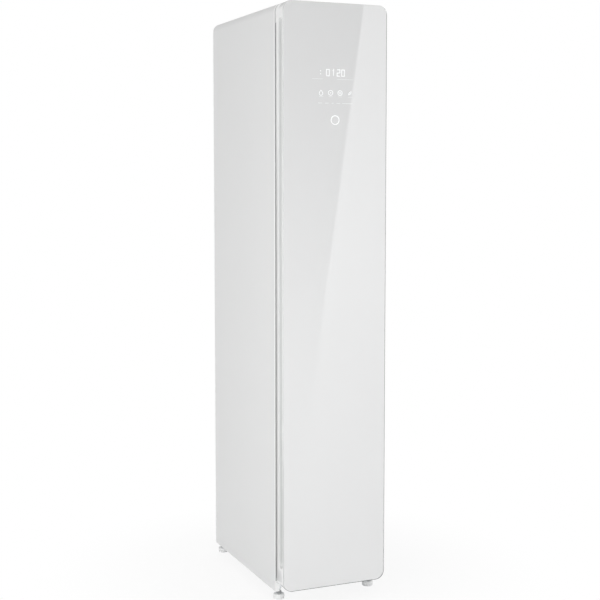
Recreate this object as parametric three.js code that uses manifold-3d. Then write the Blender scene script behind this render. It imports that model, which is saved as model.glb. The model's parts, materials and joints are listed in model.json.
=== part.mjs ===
// A tall, slim steam cabinet for the care of clothes, with one glass-fronted door.
// Sizes are in millimetres. The floor is z = 0, the door faces -y and is hinged at +x.

import * as THREE from 'three';
import { mergeVertices } from 'three/addons/utils/BufferGeometryUtils.js';
import Module from 'manifold-3d';

const wasm = await Module();
wasm.setup();

// Overall sizes
const width = 345;
const depth = 630;
const height = 1842;
const cornerRadius = 28;
const doorThickness = 61;
const doorGap = 5;
const doorBottom = 45;
const caseBottom = 27;
const baseBottom = 42;

// Clearances, and how far a cutting tool runs past the face that it leaves
const fit = 0.3;
const handGap = 1.5;
const turnGap = 0.4;
const overrun = 10;

// Places that most pieces share
const sideX = width / 2;
const frontY = -depth / 2;
const backY = depth / 2;
const doorBackY = frontY + doorThickness;
const caseFrontY = doorBackY + doorGap;

// Outer case and rear panel, in bent steel sheet
const caseSheet = 1.2;
const caseFlange = 13;
const rearSheet = 1;
const rearPress = 3;
const rearMargin = 30;
const rearFieldGap = 40;
const rearFieldRadius = 12;
const ventLength = 96;
const ventHeight = 5;
const ventPitch = 15;
const ventRows = 9;
const ventColumnSpacing = 124;
const ventTopDrop = 40;
const glandRadius = 9;
const glandLip = 3.5;
const glandLipThickness = 2.4;
const glandBore = 4.5;
const glandInset = 26;

// Base tray and its levelling feet
const baseSheet = 1.5;
const baseWall = 12;
const socketRadius = 8;
const socketDrop = 10;
const stemRadius = 5;
const footRadius = 17.5;
const footHeight = 16;
const footChamfer = 2.5;
const footNeckRadius = 9;
const footNeckHeight = 7;
const footInset = 17.5;
const footFrontSetback = 17;
const footRearSetback = 30;

// Cabin panels, in moulded plastic
const cabinSideGap = 22.5;
const cabinWall = 3;
const cabinBackGap = 30;
const cabinFloorZ = 432;
const cabinCeilingDrop = 92;
const reliefHeight = 1.5;
const reliefMargin = 45;
const reliefRadius = 30;
const sillHeight = 6;
const shelfZ = 632;
const studReach = 9;
const studHeight = 12;
const studLength = 24;
const studInset = 90;

// Shelf
const shelfThickness = 12;
const shelfFrontGap = 60;
const shelfBackGap = 40;
const shelfRadius = 18;
const shelfRim = 16;
const shelfSlots = 8;
const shelfBar = 9;

// Openings in the cabin floor, and what sits in them
const filterEndGap = 30;
const filterWidth = 56;
const filterDepth = 28;
const filterRim = 5;
const filterRimThickness = 3;
const filterFrontSetback = 26;
const filterWindows = 8;
const filterBar = 4;
const tabHeight = 14;
const tabThickness = 4;
const tabLength = 40;
const aromaSize = 50;
const aromaDepth = 24;
const aromaSlots = 4;
const aromaBar = 6;
const outletSlotLength = 54;
const outletSlotWidth = 5;
const outletPitch = 10;
const outletRows = 3;
const outletColumns = 3;
const outletColumnPitch = 64;
const outletBackGap = 8;
const nozzleRadius = 13;
const nozzleLip = 6;
const nozzleLipHeight = 2.5;
const nozzleDome = 9;
const nozzleStem = 22;
const nozzleBore = 6;

// Lamp under the cabin ceiling
const lampLength = 140;
const lampWidth = 22;
const lampHeight = 6;
const lampRadius = 4.5;
const lampSetback = 36;

// Tank bay behind the lower part of the door, with two tanks side by side
const bayFloorZ = 72;
const bayTopGap = 5.7;
const bayDepth = 174;
const ribWidth = 2.4;
const ribHeight = 26;
const tankSetback = 24;
const tankBackGap = 4;
const tankWall = 2.5;
const tankHeadroom = 24;
const tankRadius = 10;
const gripDepth = 22;
const gripHeight = 34;
const gripSlope = 10;
const lidThickness = 5;
const lidLip = 4;
const lidLipDrop = 12;
const capRadius = 22;
const capHeight = 5;
const capPlugRadius = 17;
const capPlugDepth = 8;
const capBarReach = 18;
const capBarWidth = 6;
const capBarHeight = 5;
const spoutLength = 44;
const spoutWidth = 16;
const couplingRadius = 7;
const couplingHeight = 24;
const couplingStub = 14;

// Hinge of the door
const hingeInset = 12;
const hingeSetback = 25;
const hingePlate = 3;
const hingeEndRadius = 8;
const hingeArmInner = 14;
const hingeArmOuter = 4;
const hingeArmRoot = 44;
const pinRadius = 4;
const pinLength = 20;
const bushRadius = 8;
const bushFlange = 2.5;
const topArmDrop = 16.4;
const bottomPlateWidth = 34;
const pocketSide = 15;
const pocketFront = 13;

// Door: frame, glass, liner, seal and display
const glassThickness = 4;
const glassBevel = 1;
const frameWall = 3;
const frameFlange = 12;
const frameFlangeThickness = 2.5;
const channelWidth = 30;
const channelDepth = 13;
const channelFrontLip = 7;
const channelTopDrop = 49;
const channelBottomRise = 68;
const channelRunOut = 22;
const channelSteps = 5;
const reliefCutWidth = 7;
const reliefCutDepth = 7;
const reliefCutTopDrop = 61;
const reliefCutBottomRise = 27;
const linerSheet = 2;
const dishDepth = 22;
const dishBottomRise = 23;
const dishTopDrop = 52;
const dishRadius = 6;
const sealInset = 2;
const sealWidth = 10;
const sealLipInset = 2;
const sealRadius = 12;
const displayWidth = 160;
const displayHeight = 200;
const displayThickness = 9;
const displayTopDrop = 185;

// Shaker that swings the hanger bar from side to side
const barDrop = 68;
const barEndGap = 30;
const barRadius = 9;
const barSeats = 4;
const barSeatPitch = 32;
const barSeatDepth = 4;
const barSeatWidth = 9;
const stemInset = 42;
const stemWidth = 22;
const stemTopWidth = 26;
const stemThickness = 12;
const shakeTravel = 20;
const rodRadius = 5;
const rodEndGap = 16;
const rodInset = 12;
const rodLift = 39;
const carriageEndGap = 7;
const carriageDepth = 88;
const carriageHeight = 20;
const windowMargin = 20;
const bossThickness = 12;
const yokeWidth = 28;
const yokeThickness = 6;
const crankSetback = 46;
const crankPinRadius = 5;
const crankRadius = 27;
const crankThickness = 7;
const crankShaftRadius = 4;
const crankShaftLength = 5;
const crankPinGap = 0.6;
const motorRadius = 28;
const motorHeight = 26;
const motorFrameWidth = 104;
const motorFrameDepth = 70;
const motorFrameSheet = 3;
const boardEndGap = 35;
const boardDepth = 110;
const boardThickness = 1.6;
const boardPost = 10;
const capacitorRadius = 9;
const capacitorHeight = 24;
const capacitorShares = [0.2, 0.3, 0.4];
// Relays, chips and a heat sink: middle and size along and across the board, and height in its thickness
const blockShares = [
  [-0.4, 0.25, 0.07, 0.16, 14],
  [-0.29, 0.25, 0.07, 0.16, 14],
  [-0.18, 0.25, 0.07, 0.16, 14],
  [0.28, 0.22, 0.16, 0.3, 22],
  [0.02, -0.2, 0.14, 0.22, 5],
  [-0.34, -0.25, 0.2, 0.16, 9],
];
const boardPostRadius = 4;
const boardBackGap = 14;
const boardInset = 12;

// Air duct below the cabin floor, its coils and its fan
const ductHeight = 102;
const ductWall = 2.5;
const ductRightGap = 78;
const ductSideGap = 2;
const ductFrontGap = 6;
const coilThickness = 46;
const coilSpacing = 60;
const coilFrontGap = 8;
const coilFins = 13;
const coilFinThickness = 2.4;
const coilHeadroom = 8;
const fanBackGap = 125;
const fanSideGap = 6;
const fanBladeLength = 16;
const fanBlades = 20;
const fanSides = 24;
const fanBladeThickness = 1.8;
const fanBladeLean = 16;
const fanHeight = 48;
const fanPlate = 2.5;
const fanRing = 5;
const fanLift = 16;
const fanHubRadius = 12;
const fanHubHeight = 24;
const fanShaftRadius = 4;
const scrollGap = 9;
const scrollGrowth = 22;
const scrollWall = 2.5;
const scrollStartShare = -0.2;
const scrollSweepShare = 1.55;
const scrollSteps = 20;
const scrollHeight = 60;
const fanMotorRadius = 34;
const fanMotorHeight = 34;
const fanMotorBoss = 6;

// Heat pump, steam generator, pumps and hoses on the base tray
const compressorSideGap = 80;
const compressorBackGap = 95;
const compressorRadius = 58;
const compressorHeight = 172;
const compressorDome = 30;
const domeShares = [[0.86, 0.4], [0.5, 0.1]];
const compressorPlate = 4;
const compressorFootRadius = 12;
const compressorFootReach = 62;
const mountPlate = 3;
const mountPostRadius = 7;
const mountPostHeight = 9;
const pipeRadius = 4;
const pipeStub = 14;
const pipeSocket = 1.6;
const suctionOffset = 30;
const dischargeOffset = -35;
const pipeBayGap = 12;
const generatorSideGap = 46;
const generatorBackGap = 90;
const generatorWidth = 84;
const generatorDepth = 120;
const generatorHeight = 86;
const generatorRadius = 14;
const generatorBand = 4;
const generatorBandHeight = 8;
const generatorStub = 12;
const hoseRadius = 8;
const pullShare = 0.6;
const pumpRadius = 18;
const pumpLength = 53;
const pumpFootWidth = 30;
const feedHoseRadius = 5;
const ductDrainInset = 27;
const ductDrainLength = 12;

// Places worked out from the sizes
const hingeX = sideX - hingeInset;
const hingeY = doorBackY - hingeSetback;
const cabinHalf = sideX - cabinSideGap;
const cabinCeilingZ = height - cabinCeilingDrop;
const cabinBackY = backY - cabinBackGap;
const baseTop = baseBottom + baseWall;
const caseInnerX = sideX - caseSheet - fit;
const mouthX = sideX - caseFlange - fit;
const panelFrontY = caseFrontY + cabinWall;
const insulationTop = height - cornerRadius - fit;
const ductTop = cabinFloorZ - cabinWall - fit;
const ductBottom = ductTop - ductHeight;
const bayTopZ = ductBottom - bayTopGap - cabinWall;
const bayBackY = caseFrontY + bayDepth;
const tankFrontY = caseFrontY + tankSetback;
const tankBackY = bayBackY - tankBackGap;
const tankTop = bayTopZ - tankHeadroom;
const tankInnerX = ribWidth / 2 + handGap;
const tankOuterX = cabinHalf - handGap;
const tankMiddleX = (tankInnerX + tankOuterX) / 2;
const tankMiddleY = (tankFrontY + tankBackY) / 2;
const lidBottom = tankTop + fit;
const lidTop = lidBottom + lidThickness;
const topArmZ = height - topArmDrop - hingePlate;
const pocketZ = topArmZ - bushFlange - 2 * fit;
const bottomArmTop = baseBottom - fit;
const glassBackY = frontY + glassThickness;
const frameFrontY = glassBackY + fit;
const channelTop = height - channelTopDrop;
const channelBottom = doorBottom + channelBottomRise;
const reliefCutTop = height - reliefCutTopDrop;
const reliefCutBottom = doorBottom + reliefCutBottomRise;
const channelY = frontY + channelFrontLip + channelWidth / 2;
const channelRadius = ((channelWidth / 2) ** 2 + channelDepth ** 2) / (2 * channelDepth);
const channelX = -sideX + channelDepth - channelRadius;
const dishBackY = doorBackY - dishDepth;
const dishBottom = doorBottom + dishBottomRise;
const dishTop = height - dishTopDrop;
const ceilingTop = cabinCeilingZ + cabinWall;
const barZ = cabinCeilingZ - barDrop;
const barLength = 2 * (cabinHalf - barEndGap);
const stemSpacing = barLength - 2 * stemInset;
const rodLength = 2 * (cabinHalf - rodEndGap);
const rodSpacing = carriageDepth - 2 * rodInset;
const carriageLength = rodLength - 2 * (bossThickness + shakeTravel + carriageEndGap);
const carriageWindow = stemSpacing - stemTopWidth - 2 * windowMargin;
const boardWidth = 2 * (cabinHalf - boardEndGap);
const rodZ = ceilingTop + rodLift;
const carriageBottom = rodZ - carriageHeight / 2;
const crankY = carriageDepth / 2 + crankSetback;
const yokeTop = carriageBottom + yokeThickness;
const crankDiscZ = yokeTop + crankPinGap + crankPinRadius;
const motorFrameZ = crankDiscZ + crankThickness + handGap;
const ductLeft = -cabinHalf + ductSideGap;
const ductRight = cabinHalf - ductRightGap;
const ductMiddleX = (ductLeft + ductRight) / 2;
const ductFrontY = panelFrontY + ductFrontGap;
const ductBackY = cabinBackY - fit;
const filterLength = ductRight - ductLeft - 2 * filterEndGap;
const filterY = caseFrontY + filterFrontSetback + filterWidth / 2;
const aromaX = (ductRight + cabinHalf) / 2;
const coilFrontY = filterY + filterWidth / 2 + coilFrontGap;
const fanY = cabinBackY - fanBackGap;
const fanRadius = ductMiddleX - ductLeft - ductWall - scrollWall - scrollGap - scrollGrowth - fanSideGap;
const baseFloorTop = baseBottom + baseSheet;
const compressorX = -cabinHalf + compressorSideGap;
const compressorY = cabinBackY - compressorBackGap;
const compressorBase = baseFloorTop + fit + mountPlate + mountPostHeight + fit;
const compressorTop = compressorBase + compressorPlate + compressorHeight;
const generatorX = cabinHalf - generatorSideGap;
const generatorY = cabinBackY - generatorBackGap;
const generatorBase = baseFloorTop + fit;
const generatorTop = generatorBase + generatorHeight;
const nozzleX = aromaX;
const nozzleY = generatorY;
const pumpZ = bayFloorZ + couplingHeight;
const pumpInletY = bayBackY + cabinWall + couplingStub + fit;
const pumpY = pumpInletY + couplingStub + pumpLength / 2;
const ductDrainX = ductRight - ductDrainInset;

// Looks
const paintedSteel = { color: 0xe9ebeb, roughness: 0.42, metalness: 0.0 };
const whiteGlass = { color: 0xe6e9ea, roughness: 0.06, metalness: 0.0 };
const whitePlastic = { color: 0xe4e6e6, roughness: 0.5, metalness: 0.0 };
const cabinPlastic = { color: 0xd9dcde, roughness: 0.45, metalness: 0.0 };
const greyPlastic = { color: 0x8f9498, roughness: 0.55, metalness: 0.0 };
const darkPlastic = { color: 0x2c2e30, roughness: 0.6, metalness: 0.0 };
const clearPlastic = { color: 0xcfdde4, roughness: 0.2, metalness: 0.0 };
const bluePlastic = { color: 0x4f86a8, roughness: 0.4, metalness: 0.0 };
const foam = { color: 0xf2f1ea, roughness: 0.95, metalness: 0.0 };
const rubber = { color: 0xc9cccd, roughness: 0.8, metalness: 0.0 };
const blackRubber = { color: 0x1d1d1f, roughness: 0.85, metalness: 0.0 };
const steel = { color: 0xb9bcbe, roughness: 0.3, metalness: 1.0 };
const aluminium = { color: 0xc8cacc, roughness: 0.35, metalness: 1.0 };
const copper = { color: 0xb87348, roughness: 0.3, metalness: 1.0 };
const blackPaint = { color: 0x17181a, roughness: 0.45, metalness: 0.0 };
const boardGreen = { color: 0x1f5a3a, roughness: 0.6, metalness: 0.0 };

// Solids and outlines

function solidFrom(geometry) {
  geometry.deleteAttribute('normal');
  geometry.deleteAttribute('uv');
  const merged = mergeVertices(geometry);
  const corners = merged.index.array;
  const triangles = [];
  for (let i = 0; i < corners.length; i += 3) {
    const [a, b, c] = [corners[i], corners[i + 1], corners[i + 2]];
    if (a !== b && b !== c && c !== a) triangles.push(a, b, c);
  }
  return new wasm.Manifold(new wasm.Mesh({
    numProp: 3,
    vertProperties: new Float32Array(merged.attributes.position.array),
    triVerts: new Uint32Array(triangles),
  }));
}

function join(...solids) {
  return solids.reduce((whole, solid) => whole.add(solid));
}

function cut(solid, ...tools) {
  return tools.reduce((rest, tool) => rest.subtract(tool), solid);
}

function block(xs, ys, zs) {
  const low = [xs, ys, zs].map((pair) => Math.min(...pair));
  const high = [xs, ys, zs].map((pair) => Math.max(...pair));
  const size = high.map((value, i) => value - low[i]);
  const middle = high.map((value, i) => (value + low[i]) / 2);
  return solidFrom(new THREE.BoxGeometry(...size).translate(...middle));
}

// Outlines for 'z' are drawn in x and y, for 'y' in x and z, and for 'x' in y and z.
function extruded(outline, axis, ends, arcSteps = 3) {
  const [low, high] = [Math.min(...ends), Math.max(...ends)];
  const options = { depth: high - low, bevelEnabled: false, curveSegments: arcSteps };
  return solidFrom(placed(new THREE.ExtrudeGeometry(outline, options), axis, low, high));
}

function placed(geometry, axis, low, high) {
  const [x, y, z] = [[1, 0, 0], [0, 1, 0], [0, 0, 1]].map((unit) => new THREE.Vector3(...unit));
  const turn = new THREE.Matrix4();
  if (axis === 'x') return geometry.applyMatrix4(turn.makeBasis(y, z, x)).translate(low, 0, 0);
  if (axis === 'y') return geometry.applyMatrix4(turn.makeBasis(x, z, y.negate())).translate(0, high, 0);
  return geometry.translate(0, 0, low);
}

function roundedOutline(us, vs, topRadius, bottomRadius = topRadius) {
  const [left, right] = us;
  const [low, high] = vs;
  const outline = new THREE.Shape();
  outline.moveTo(left + bottomRadius, low);
  outline.lineTo(right - bottomRadius, low);
  const lowArc = low + bottomRadius;
  if (bottomRadius) outline.absarc(right - bottomRadius, lowArc, bottomRadius, -Math.PI / 2, 0);
  outline.lineTo(right, high - topRadius);
  outline.absarc(right - topRadius, high - topRadius, topRadius, 0, Math.PI / 2);
  outline.lineTo(left + topRadius, high);
  outline.absarc(left + topRadius, high - topRadius, topRadius, Math.PI / 2, Math.PI);
  outline.lineTo(left, lowArc);
  if (bottomRadius) outline.absarc(left + bottomRadius, lowArc, bottomRadius, Math.PI, -Math.PI / 2);
  return outline;
}

function arch(halfWidth, low, high, radius) {
  return roundedOutline([-halfWidth, halfWidth], [low, high], radius, 0);
}

function polygon(points) {
  return new THREE.Shape(points.map(([u, v]) => new THREE.Vector2(u, v)));
}

function disc(u, v, radius) {
  return new THREE.Shape().absarc(u, v, radius, 0, 2 * Math.PI);
}

// A round bore whose flats, not its corners, clear the given radius
function bore(u, v, radius, axis, ends, sides = 12) {
  return extruded(disc(u, v, radius / Math.cos(Math.PI / sides)), axis, ends, sides / 2);
}

function rod(u, v, radius, axis, ends, sides = 12) {
  return extruded(disc(u, v, radius), axis, ends, sides / 2);
}

// A turned solid about the vertical line through x and y; the profile lists radius and height
function turned(profile, x, y, sides = 24) {
  const points = profile.map(([radius, z]) => new THREE.Vector2(radius, z));
  return solidFrom(new THREE.LatheGeometry(points, sides).rotateX(Math.PI / 2).translate(x, y, 0));
}

// A hose or pipe that leaves and meets its ends squarely: end, pull, pull, end
function tube(points, radius, steps, sides = 8) {
  const path = new THREE.CubicBezierCurve3(...points.map((point) => new THREE.Vector3(...point)));
  const options = { steps, extrudePath: path, bevelEnabled: false, curveSegments: sides / 2 };
  return solidFrom(new THREE.ExtrudeGeometry(disc(0, 0, radius), options));
}

// Case

function outerCase() {
  const radius = cornerRadius;
  const low = caseBottom - overrun;
  const shell = extruded(arch(sideX, caseBottom, height, radius), 'y', [caseFrontY, backY]);
  const hollow = extruded(
    arch(sideX - caseSheet, low, height - caseSheet, radius - caseSheet),
    'y',
    [caseFrontY + caseSheet, backY + overrun],
  );
  const mouth = extruded(
    arch(sideX - caseFlange, low, height - caseFlange, radius - caseFlange),
    'y',
    [caseFrontY - overrun, panelFrontY],
  );
  return cut(shell, hollow, mouth, topArmSlot(), bottomArmSlot());
}

function topArmSlot() {
  return block(
    [hingeX - hingeArmInner - fit, hingeX + hingeArmOuter + fit],
    [caseFrontY - overrun, panelFrontY + fit],
    [topArmZ - fit, topArmZ + hingePlate + fit],
  );
}

function bottomArmSlot() {
  return block(
    [hingeX - hingeArmInner, hingeX + hingeEndRadius + fit],
    [caseFrontY - overrun, caseFrontY + caseSheet + fit],
    [bottomArmTop - hingePlate - fit, baseBottom],
  );
}

function glandPlace() {
  return [-caseInnerX + rearMargin + glandInset, rearFieldLow() + glandInset];
}

function rearFieldLow() {
  return baseBottom + rearMargin;
}

function rearField(low, high, inset, ys) {
  const half = caseInnerX - rearMargin - inset;
  const outline = roundedOutline([-half, half], [low + inset, high - inset], rearFieldRadius - inset);
  return extruded(outline, 'y', ys, 2);
}

function rearPanel() {
  const top = height - caseSheet - fit;
  const sheet = extruded(
    arch(caseInnerX, baseBottom, top, cornerRadius - caseSheet - fit),
    'y',
    [backY - rearSheet, backY],
  );
  const lowerTop = cabinFloorZ - rearFieldGap / 2;
  const fields = [
    [rearFieldLow(), lowerTop],
    [lowerTop + rearFieldGap, top - rearMargin - cornerRadius],
  ];
  const backs = fields.map(([low, high]) => rearField(low, high, 0, [backY - rearPress - rearSheet, backY]));
  const pressings = fields.map(([low, high]) => {
    return rearField(low, high, rearSheet, [backY - rearPress, backY + overrun]);
  });
  const vents = [];
  for (let row = 0; row < ventRows; row += 1) {
    for (const side of [-1, 1]) {
      const middle = side * ventColumnSpacing / 2;
      const z = lowerTop - ventTopDrop - row * ventPitch;
      vents.push(block(
        [middle - ventLength / 2, middle + ventLength / 2],
        [backY - rearPress - rearSheet - overrun, backY + overrun],
        [z - ventHeight, z],
      ));
    }
  }
  const [x, z] = glandPlace();
  const glandHole = bore(x, z, glandRadius + fit, 'y', [backY - rearPress - overrun, backY + overrun]);
  return cut(join(sheet, ...backs), ...pressings, ...vents, glandHole);
}

function cordGland() {
  const [x, z] = glandPlace();
  const panelY = backY - rearPress;
  const lip = rod(x, z, glandRadius + glandLip, 'y', [panelY + fit, panelY + glandLipThickness + fit]);
  const sleeve = rod(x, z, glandRadius, 'y', [panelY - rearSheet - glandLipThickness, panelY + fit]);
  const hole = bore(x, z, glandBore, 'y', [panelY - overrun, backY + overrun]);
  return cut(join(lip, sleeve), hole);
}

function footPlaces() {
  const x = sideX - footInset;
  return {
    front_left: [-x, caseFrontY + footFrontSetback],
    front_right: [x, caseFrontY + footFrontSetback],
    rear_left: [-x, backY - footRearSetback],
    rear_right: [x, backY - footRearSetback],
  };
}

function baseFrame() {
  const ys = [caseFrontY + caseSheet + fit, backY - rearSheet - fit];
  const tray = block([-caseInnerX, caseInnerX], ys, [baseBottom, baseTop]);
  const hollow = block(
    [-caseInnerX + baseSheet, caseInnerX - baseSheet],
    [ys[0] + baseSheet, ys[1] - baseSheet],
    [baseFloorTop, baseTop + overrun],
  );
  const socketZs = [baseBottom - socketDrop, baseTop];
  const sockets = Object.values(footPlaces()).map(([x, y]) => rod(x, y, socketRadius, 'z', socketZs));
  const boreZs = [socketZs[0] - overrun, socketZs[1] + overrun];
  const bores = Object.values(footPlaces()).map(([x, y]) => bore(x, y, stemRadius + fit, 'z', boreZs));
  return cut(join(cut(tray, hollow), ...sockets), ...bores);
}

function foot([x, y]) {
  const neckTop = footHeight + footNeckHeight;
  return turned([
    [0, 0],
    [footRadius - footChamfer, 0],
    [footRadius, footChamfer],
    [footRadius, footHeight - footChamfer],
    [footRadius - footChamfer, footHeight],
    [footNeckRadius, footHeight],
    [footNeckRadius, neckTop],
    [stemRadius, neckTop],
    [stemRadius, baseTop - fit],
    [0, baseTop - fit],
  ], x, y, 12);
}

function sideInsulation(side) {
  return block(
    [side * (cabinHalf + cabinWall + fit), side * caseInnerX],
    [panelFrontY + fit, backY - rearSheet - fit],
    [baseTop + fit, insulationTop],
  );
}

function backInsulation() {
  return block(
    [-cabinHalf - cabinWall, cabinHalf + cabinWall],
    [cabinBackY + cabinWall + fit, backY - rearPress - rearSheet - fit],
    [cabinFloorZ - cabinWall, ceilingTop],
  );
}

// Cabin

function sideWall(side) {
  const wallX = cabinHalf + cabinWall;
  const section = polygon([
    [side * cabinHalf, caseFrontY],
    [side * mouthX, caseFrontY],
    [side * mouthX, panelFrontY],
    [side * wallX, panelFrontY],
    [side * wallX, cabinBackY - fit],
    [side * cabinHalf, cabinBackY - fit],
  ]);
  const wall = extruded(section, 'z', [cabinFloorZ - cabinWall, ceilingTop]);
  const relief = extruded(
    roundedOutline(
      [caseFrontY + reliefMargin, cabinBackY - reliefMargin],
      [cabinFloorZ + reliefMargin, cabinCeilingZ - reliefMargin],
      reliefRadius,
    ),
    'x',
    [side * (cabinHalf - reliefHeight), side * cabinHalf],
  );
  const studs = [caseFrontY + studInset, cabinBackY - studInset].map((y) => block(
    [side * (cabinHalf - studReach), side * cabinHalf],
    [y - studLength / 2, y + studLength / 2],
    [shelfZ - studHeight, shelfZ],
  ));
  return join(wall, relief, ...studs);
}

function backWall() {
  const half = cabinHalf + cabinWall;
  const zs = [cabinFloorZ - cabinWall, ceilingTop];
  const wall = block([-half, half], [cabinBackY, cabinBackY + cabinWall], zs);
  const relief = extruded(
    roundedOutline(
      [-cabinHalf + reliefMargin, cabinHalf - reliefMargin],
      [cabinFloorZ + reliefMargin, cabinCeilingZ - reliefMargin],
      reliefRadius,
    ),
    'y',
    [cabinBackY - reliefHeight, cabinBackY],
  );
  return join(wall, relief);
}

function ceiling() {
  const plateX = [-cabinHalf + fit, cabinHalf - fit];
  const plate = block(plateX, [caseFrontY, cabinBackY - fit], [cabinCeilingZ, ceilingTop]);
  const upstand = extruded(
    arch(mouthX, ceilingTop + fit, height - caseFlange - fit, cornerRadius - caseFlange - fit),
    'y',
    [caseFrontY, panelFrontY],
  );
  const bridge = block(plateX, [caseFrontY, panelFrontY], [cabinCeilingZ, ceilingTop + cabinWall]);
  const slotZs = [cabinCeilingZ - overrun, ceilingTop + overrun];
  const stemSlots = [-1, 1].map((side) => {
    const middle = side * stemSpacing / 2;
    const reach = stemTopWidth / 2 + shakeTravel + handGap;
    const half = stemThickness / 2 + handGap;
    return block([middle - reach, middle + reach], [-half, half], slotZs);
  });
  const bosses = [-1, 1].map((side) => block(
    [side * rodLength / 2, side * (rodLength / 2 - bossThickness)],
    [-carriageDepth / 2, carriageDepth / 2],
    [ceilingTop - cabinWall / 2, rodZ + carriageHeight / 2],
  ));
  const rodBores = [-1, 1].map((side) => {
    const ends = [-rodLength / 2 - overrun, rodLength / 2 + overrun];
    return bore(side * rodSpacing / 2, rodZ, rodRadius + fit, 'x', ends);
  });
  const posts = boardPosts().map(([x, y]) => {
    return rod(x, y, boardPostRadius, 'z', [ceilingTop - cabinWall / 2, ceilingTop + boardPost], 8);
  });
  return cut(join(plate, upstand, bridge, ...bosses, ...posts), ...stemSlots, ...rodBores, topArmSlot());
}

function filterOpening() {
  return [
    [ductMiddleX - filterLength / 2, ductMiddleX + filterLength / 2],
    [filterY - filterWidth / 2, filterY + filterWidth / 2],
  ];
}

function aromaOpening() {
  return [
    [aromaX - aromaSize / 2, aromaX + aromaSize / 2],
    [filterY - aromaSize / 2, filterY + aromaSize / 2],
  ];
}

function cabinFloor() {
  const plateX = [-cabinHalf + fit, cabinHalf - fit];
  const plate = block(plateX, [caseFrontY, cabinBackY - fit], [cabinFloorZ - cabinWall, cabinFloorZ]);
  const sill = block(plateX, [caseFrontY, panelFrontY], [cabinFloorZ - cabinWall, cabinFloorZ + sillHeight]);
  const through = [cabinFloorZ - cabinWall - overrun, cabinFloorZ + overrun];
  const slots = [];
  for (let row = 0; row < outletRows; row += 1) {
    for (let column = 0; column < outletColumns; column += 1) {
      const x = ductMiddleX + (column - (outletColumns - 1) / 2) * outletColumnPitch;
      const y = ductBackY - ductWall - outletBackGap - row * outletPitch;
      const xs = [x - outletSlotLength / 2, x + outletSlotLength / 2];
      slots.push(block(xs, [y - outletSlotWidth, y], through));
    }
  }
  const nozzleHole = bore(nozzleX, nozzleY, nozzleRadius + fit, 'z', through);
  const mouths = [filterOpening(), aromaOpening()].map(([xs, ys]) => block(xs, ys, through));
  return cut(join(plate, sill), ...slots, nozzleHole, ...mouths);
}

// A tray that hangs in a floor opening by its rim, with windows through its bottom
function hungTray([xs, ys], trayDepth, windows, bar) {
  const [x0, x1] = [xs[0] + handGap, xs[1] - handGap];
  const [y0, y1] = [ys[0] + handGap, ys[1] - handGap];
  const rimBottom = cabinFloorZ + fit;
  const rimTop = rimBottom + filterRimThickness;
  const rimXs = [xs[0] - filterRim, xs[1] + filterRim];
  const rimYs = [ys[0] - filterRim, ys[1] + filterRim];
  const rim = block(rimXs, rimYs, [rimBottom, rimTop]);
  const tray = block([x0, x1], [y0, y1], [cabinFloorZ - trayDepth, rimTop]);
  const through = [cabinFloorZ - trayDepth - overrun, rimTop + overrun];
  const pitch = (x1 - x0 - bar) / windows;
  const holes = [];
  for (let i = 0; i < windows; i += 1) {
    const left = x0 + bar + i * pitch;
    holes.push(block([left, left + pitch - bar], [y0 + bar, y1 - bar], through));
  }
  return cut(join(rim, tray), ...holes);
}

function lintFilter() {
  const [, ys] = filterOpening();
  const rimTop = cabinFloorZ + fit + filterRimThickness;
  const tab = block(
    [ductMiddleX - tabLength / 2, ductMiddleX + tabLength / 2],
    [ys[0] + handGap, ys[0] + handGap + tabThickness],
    [rimTop - filterRimThickness / 2, rimTop + tabHeight],
  );
  return join(hungTray(filterOpening(), filterDepth, filterWindows, filterBar), tab);
}

function aromaCase() {
  return hungTray(aromaOpening(), aromaDepth, aromaSlots, aromaBar);
}

function steamNozzle() {
  const lipBottom = cabinFloorZ + fit;
  const lip = nozzleRadius + nozzleLip;
  const bottom = cabinFloorZ - nozzleStem;
  const through = [bottom - overrun, cabinFloorZ + nozzleDome + overrun];
  const body = turned([
    [0, bottom],
    [nozzleRadius, bottom],
    [nozzleRadius, lipBottom],
    [lip, lipBottom],
    [lip, lipBottom + nozzleLipHeight],
    [nozzleRadius, lipBottom + nozzleDome - nozzleLipHeight],
    [0, lipBottom + nozzleDome],
  ], nozzleX, nozzleY, 12);
  return cut(body, bore(nozzleX, nozzleY, nozzleBore, 'z', through));
}

function shelfSpan() {
  const half = cabinHalf - reliefHeight - handGap;
  return [[-half, half], [caseFrontY + shelfFrontGap, cabinBackY - shelfBackGap]];
}

function shelf() {
  const [xs, ys] = shelfSpan();
  const zs = [shelfZ + fit, shelfZ + fit + shelfThickness];
  const plate = extruded(roundedOutline(xs, ys, shelfRadius), 'z', zs);
  const pitch = (xs[1] - xs[0] - 2 * shelfRim + shelfBar) / shelfSlots;
  const slots = [];
  for (let i = 0; i < shelfSlots; i += 1) {
    const left = xs[0] + shelfRim + i * pitch;
    const slotYs = [ys[0] + shelfRim, ys[1] - shelfRim];
    const outline = roundedOutline([left, left + pitch - shelfBar], slotYs, shelfBar);
    slots.push(extruded(outline, 'z', [zs[0] - overrun, zs[1] + overrun], 1));
  }
  return cut(plate, ...slots);
}

function cabinLamp() {
  const y = caseFrontY + lampSetback;
  const top = cabinCeilingZ - fit;
  const section = roundedOutline([y, y + lampWidth], [top - lampHeight, top], fit, lampRadius);
  return extruded(section, 'x', [-lampLength / 2, lampLength / 2], 2);
}

// Tank bay and tanks

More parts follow.
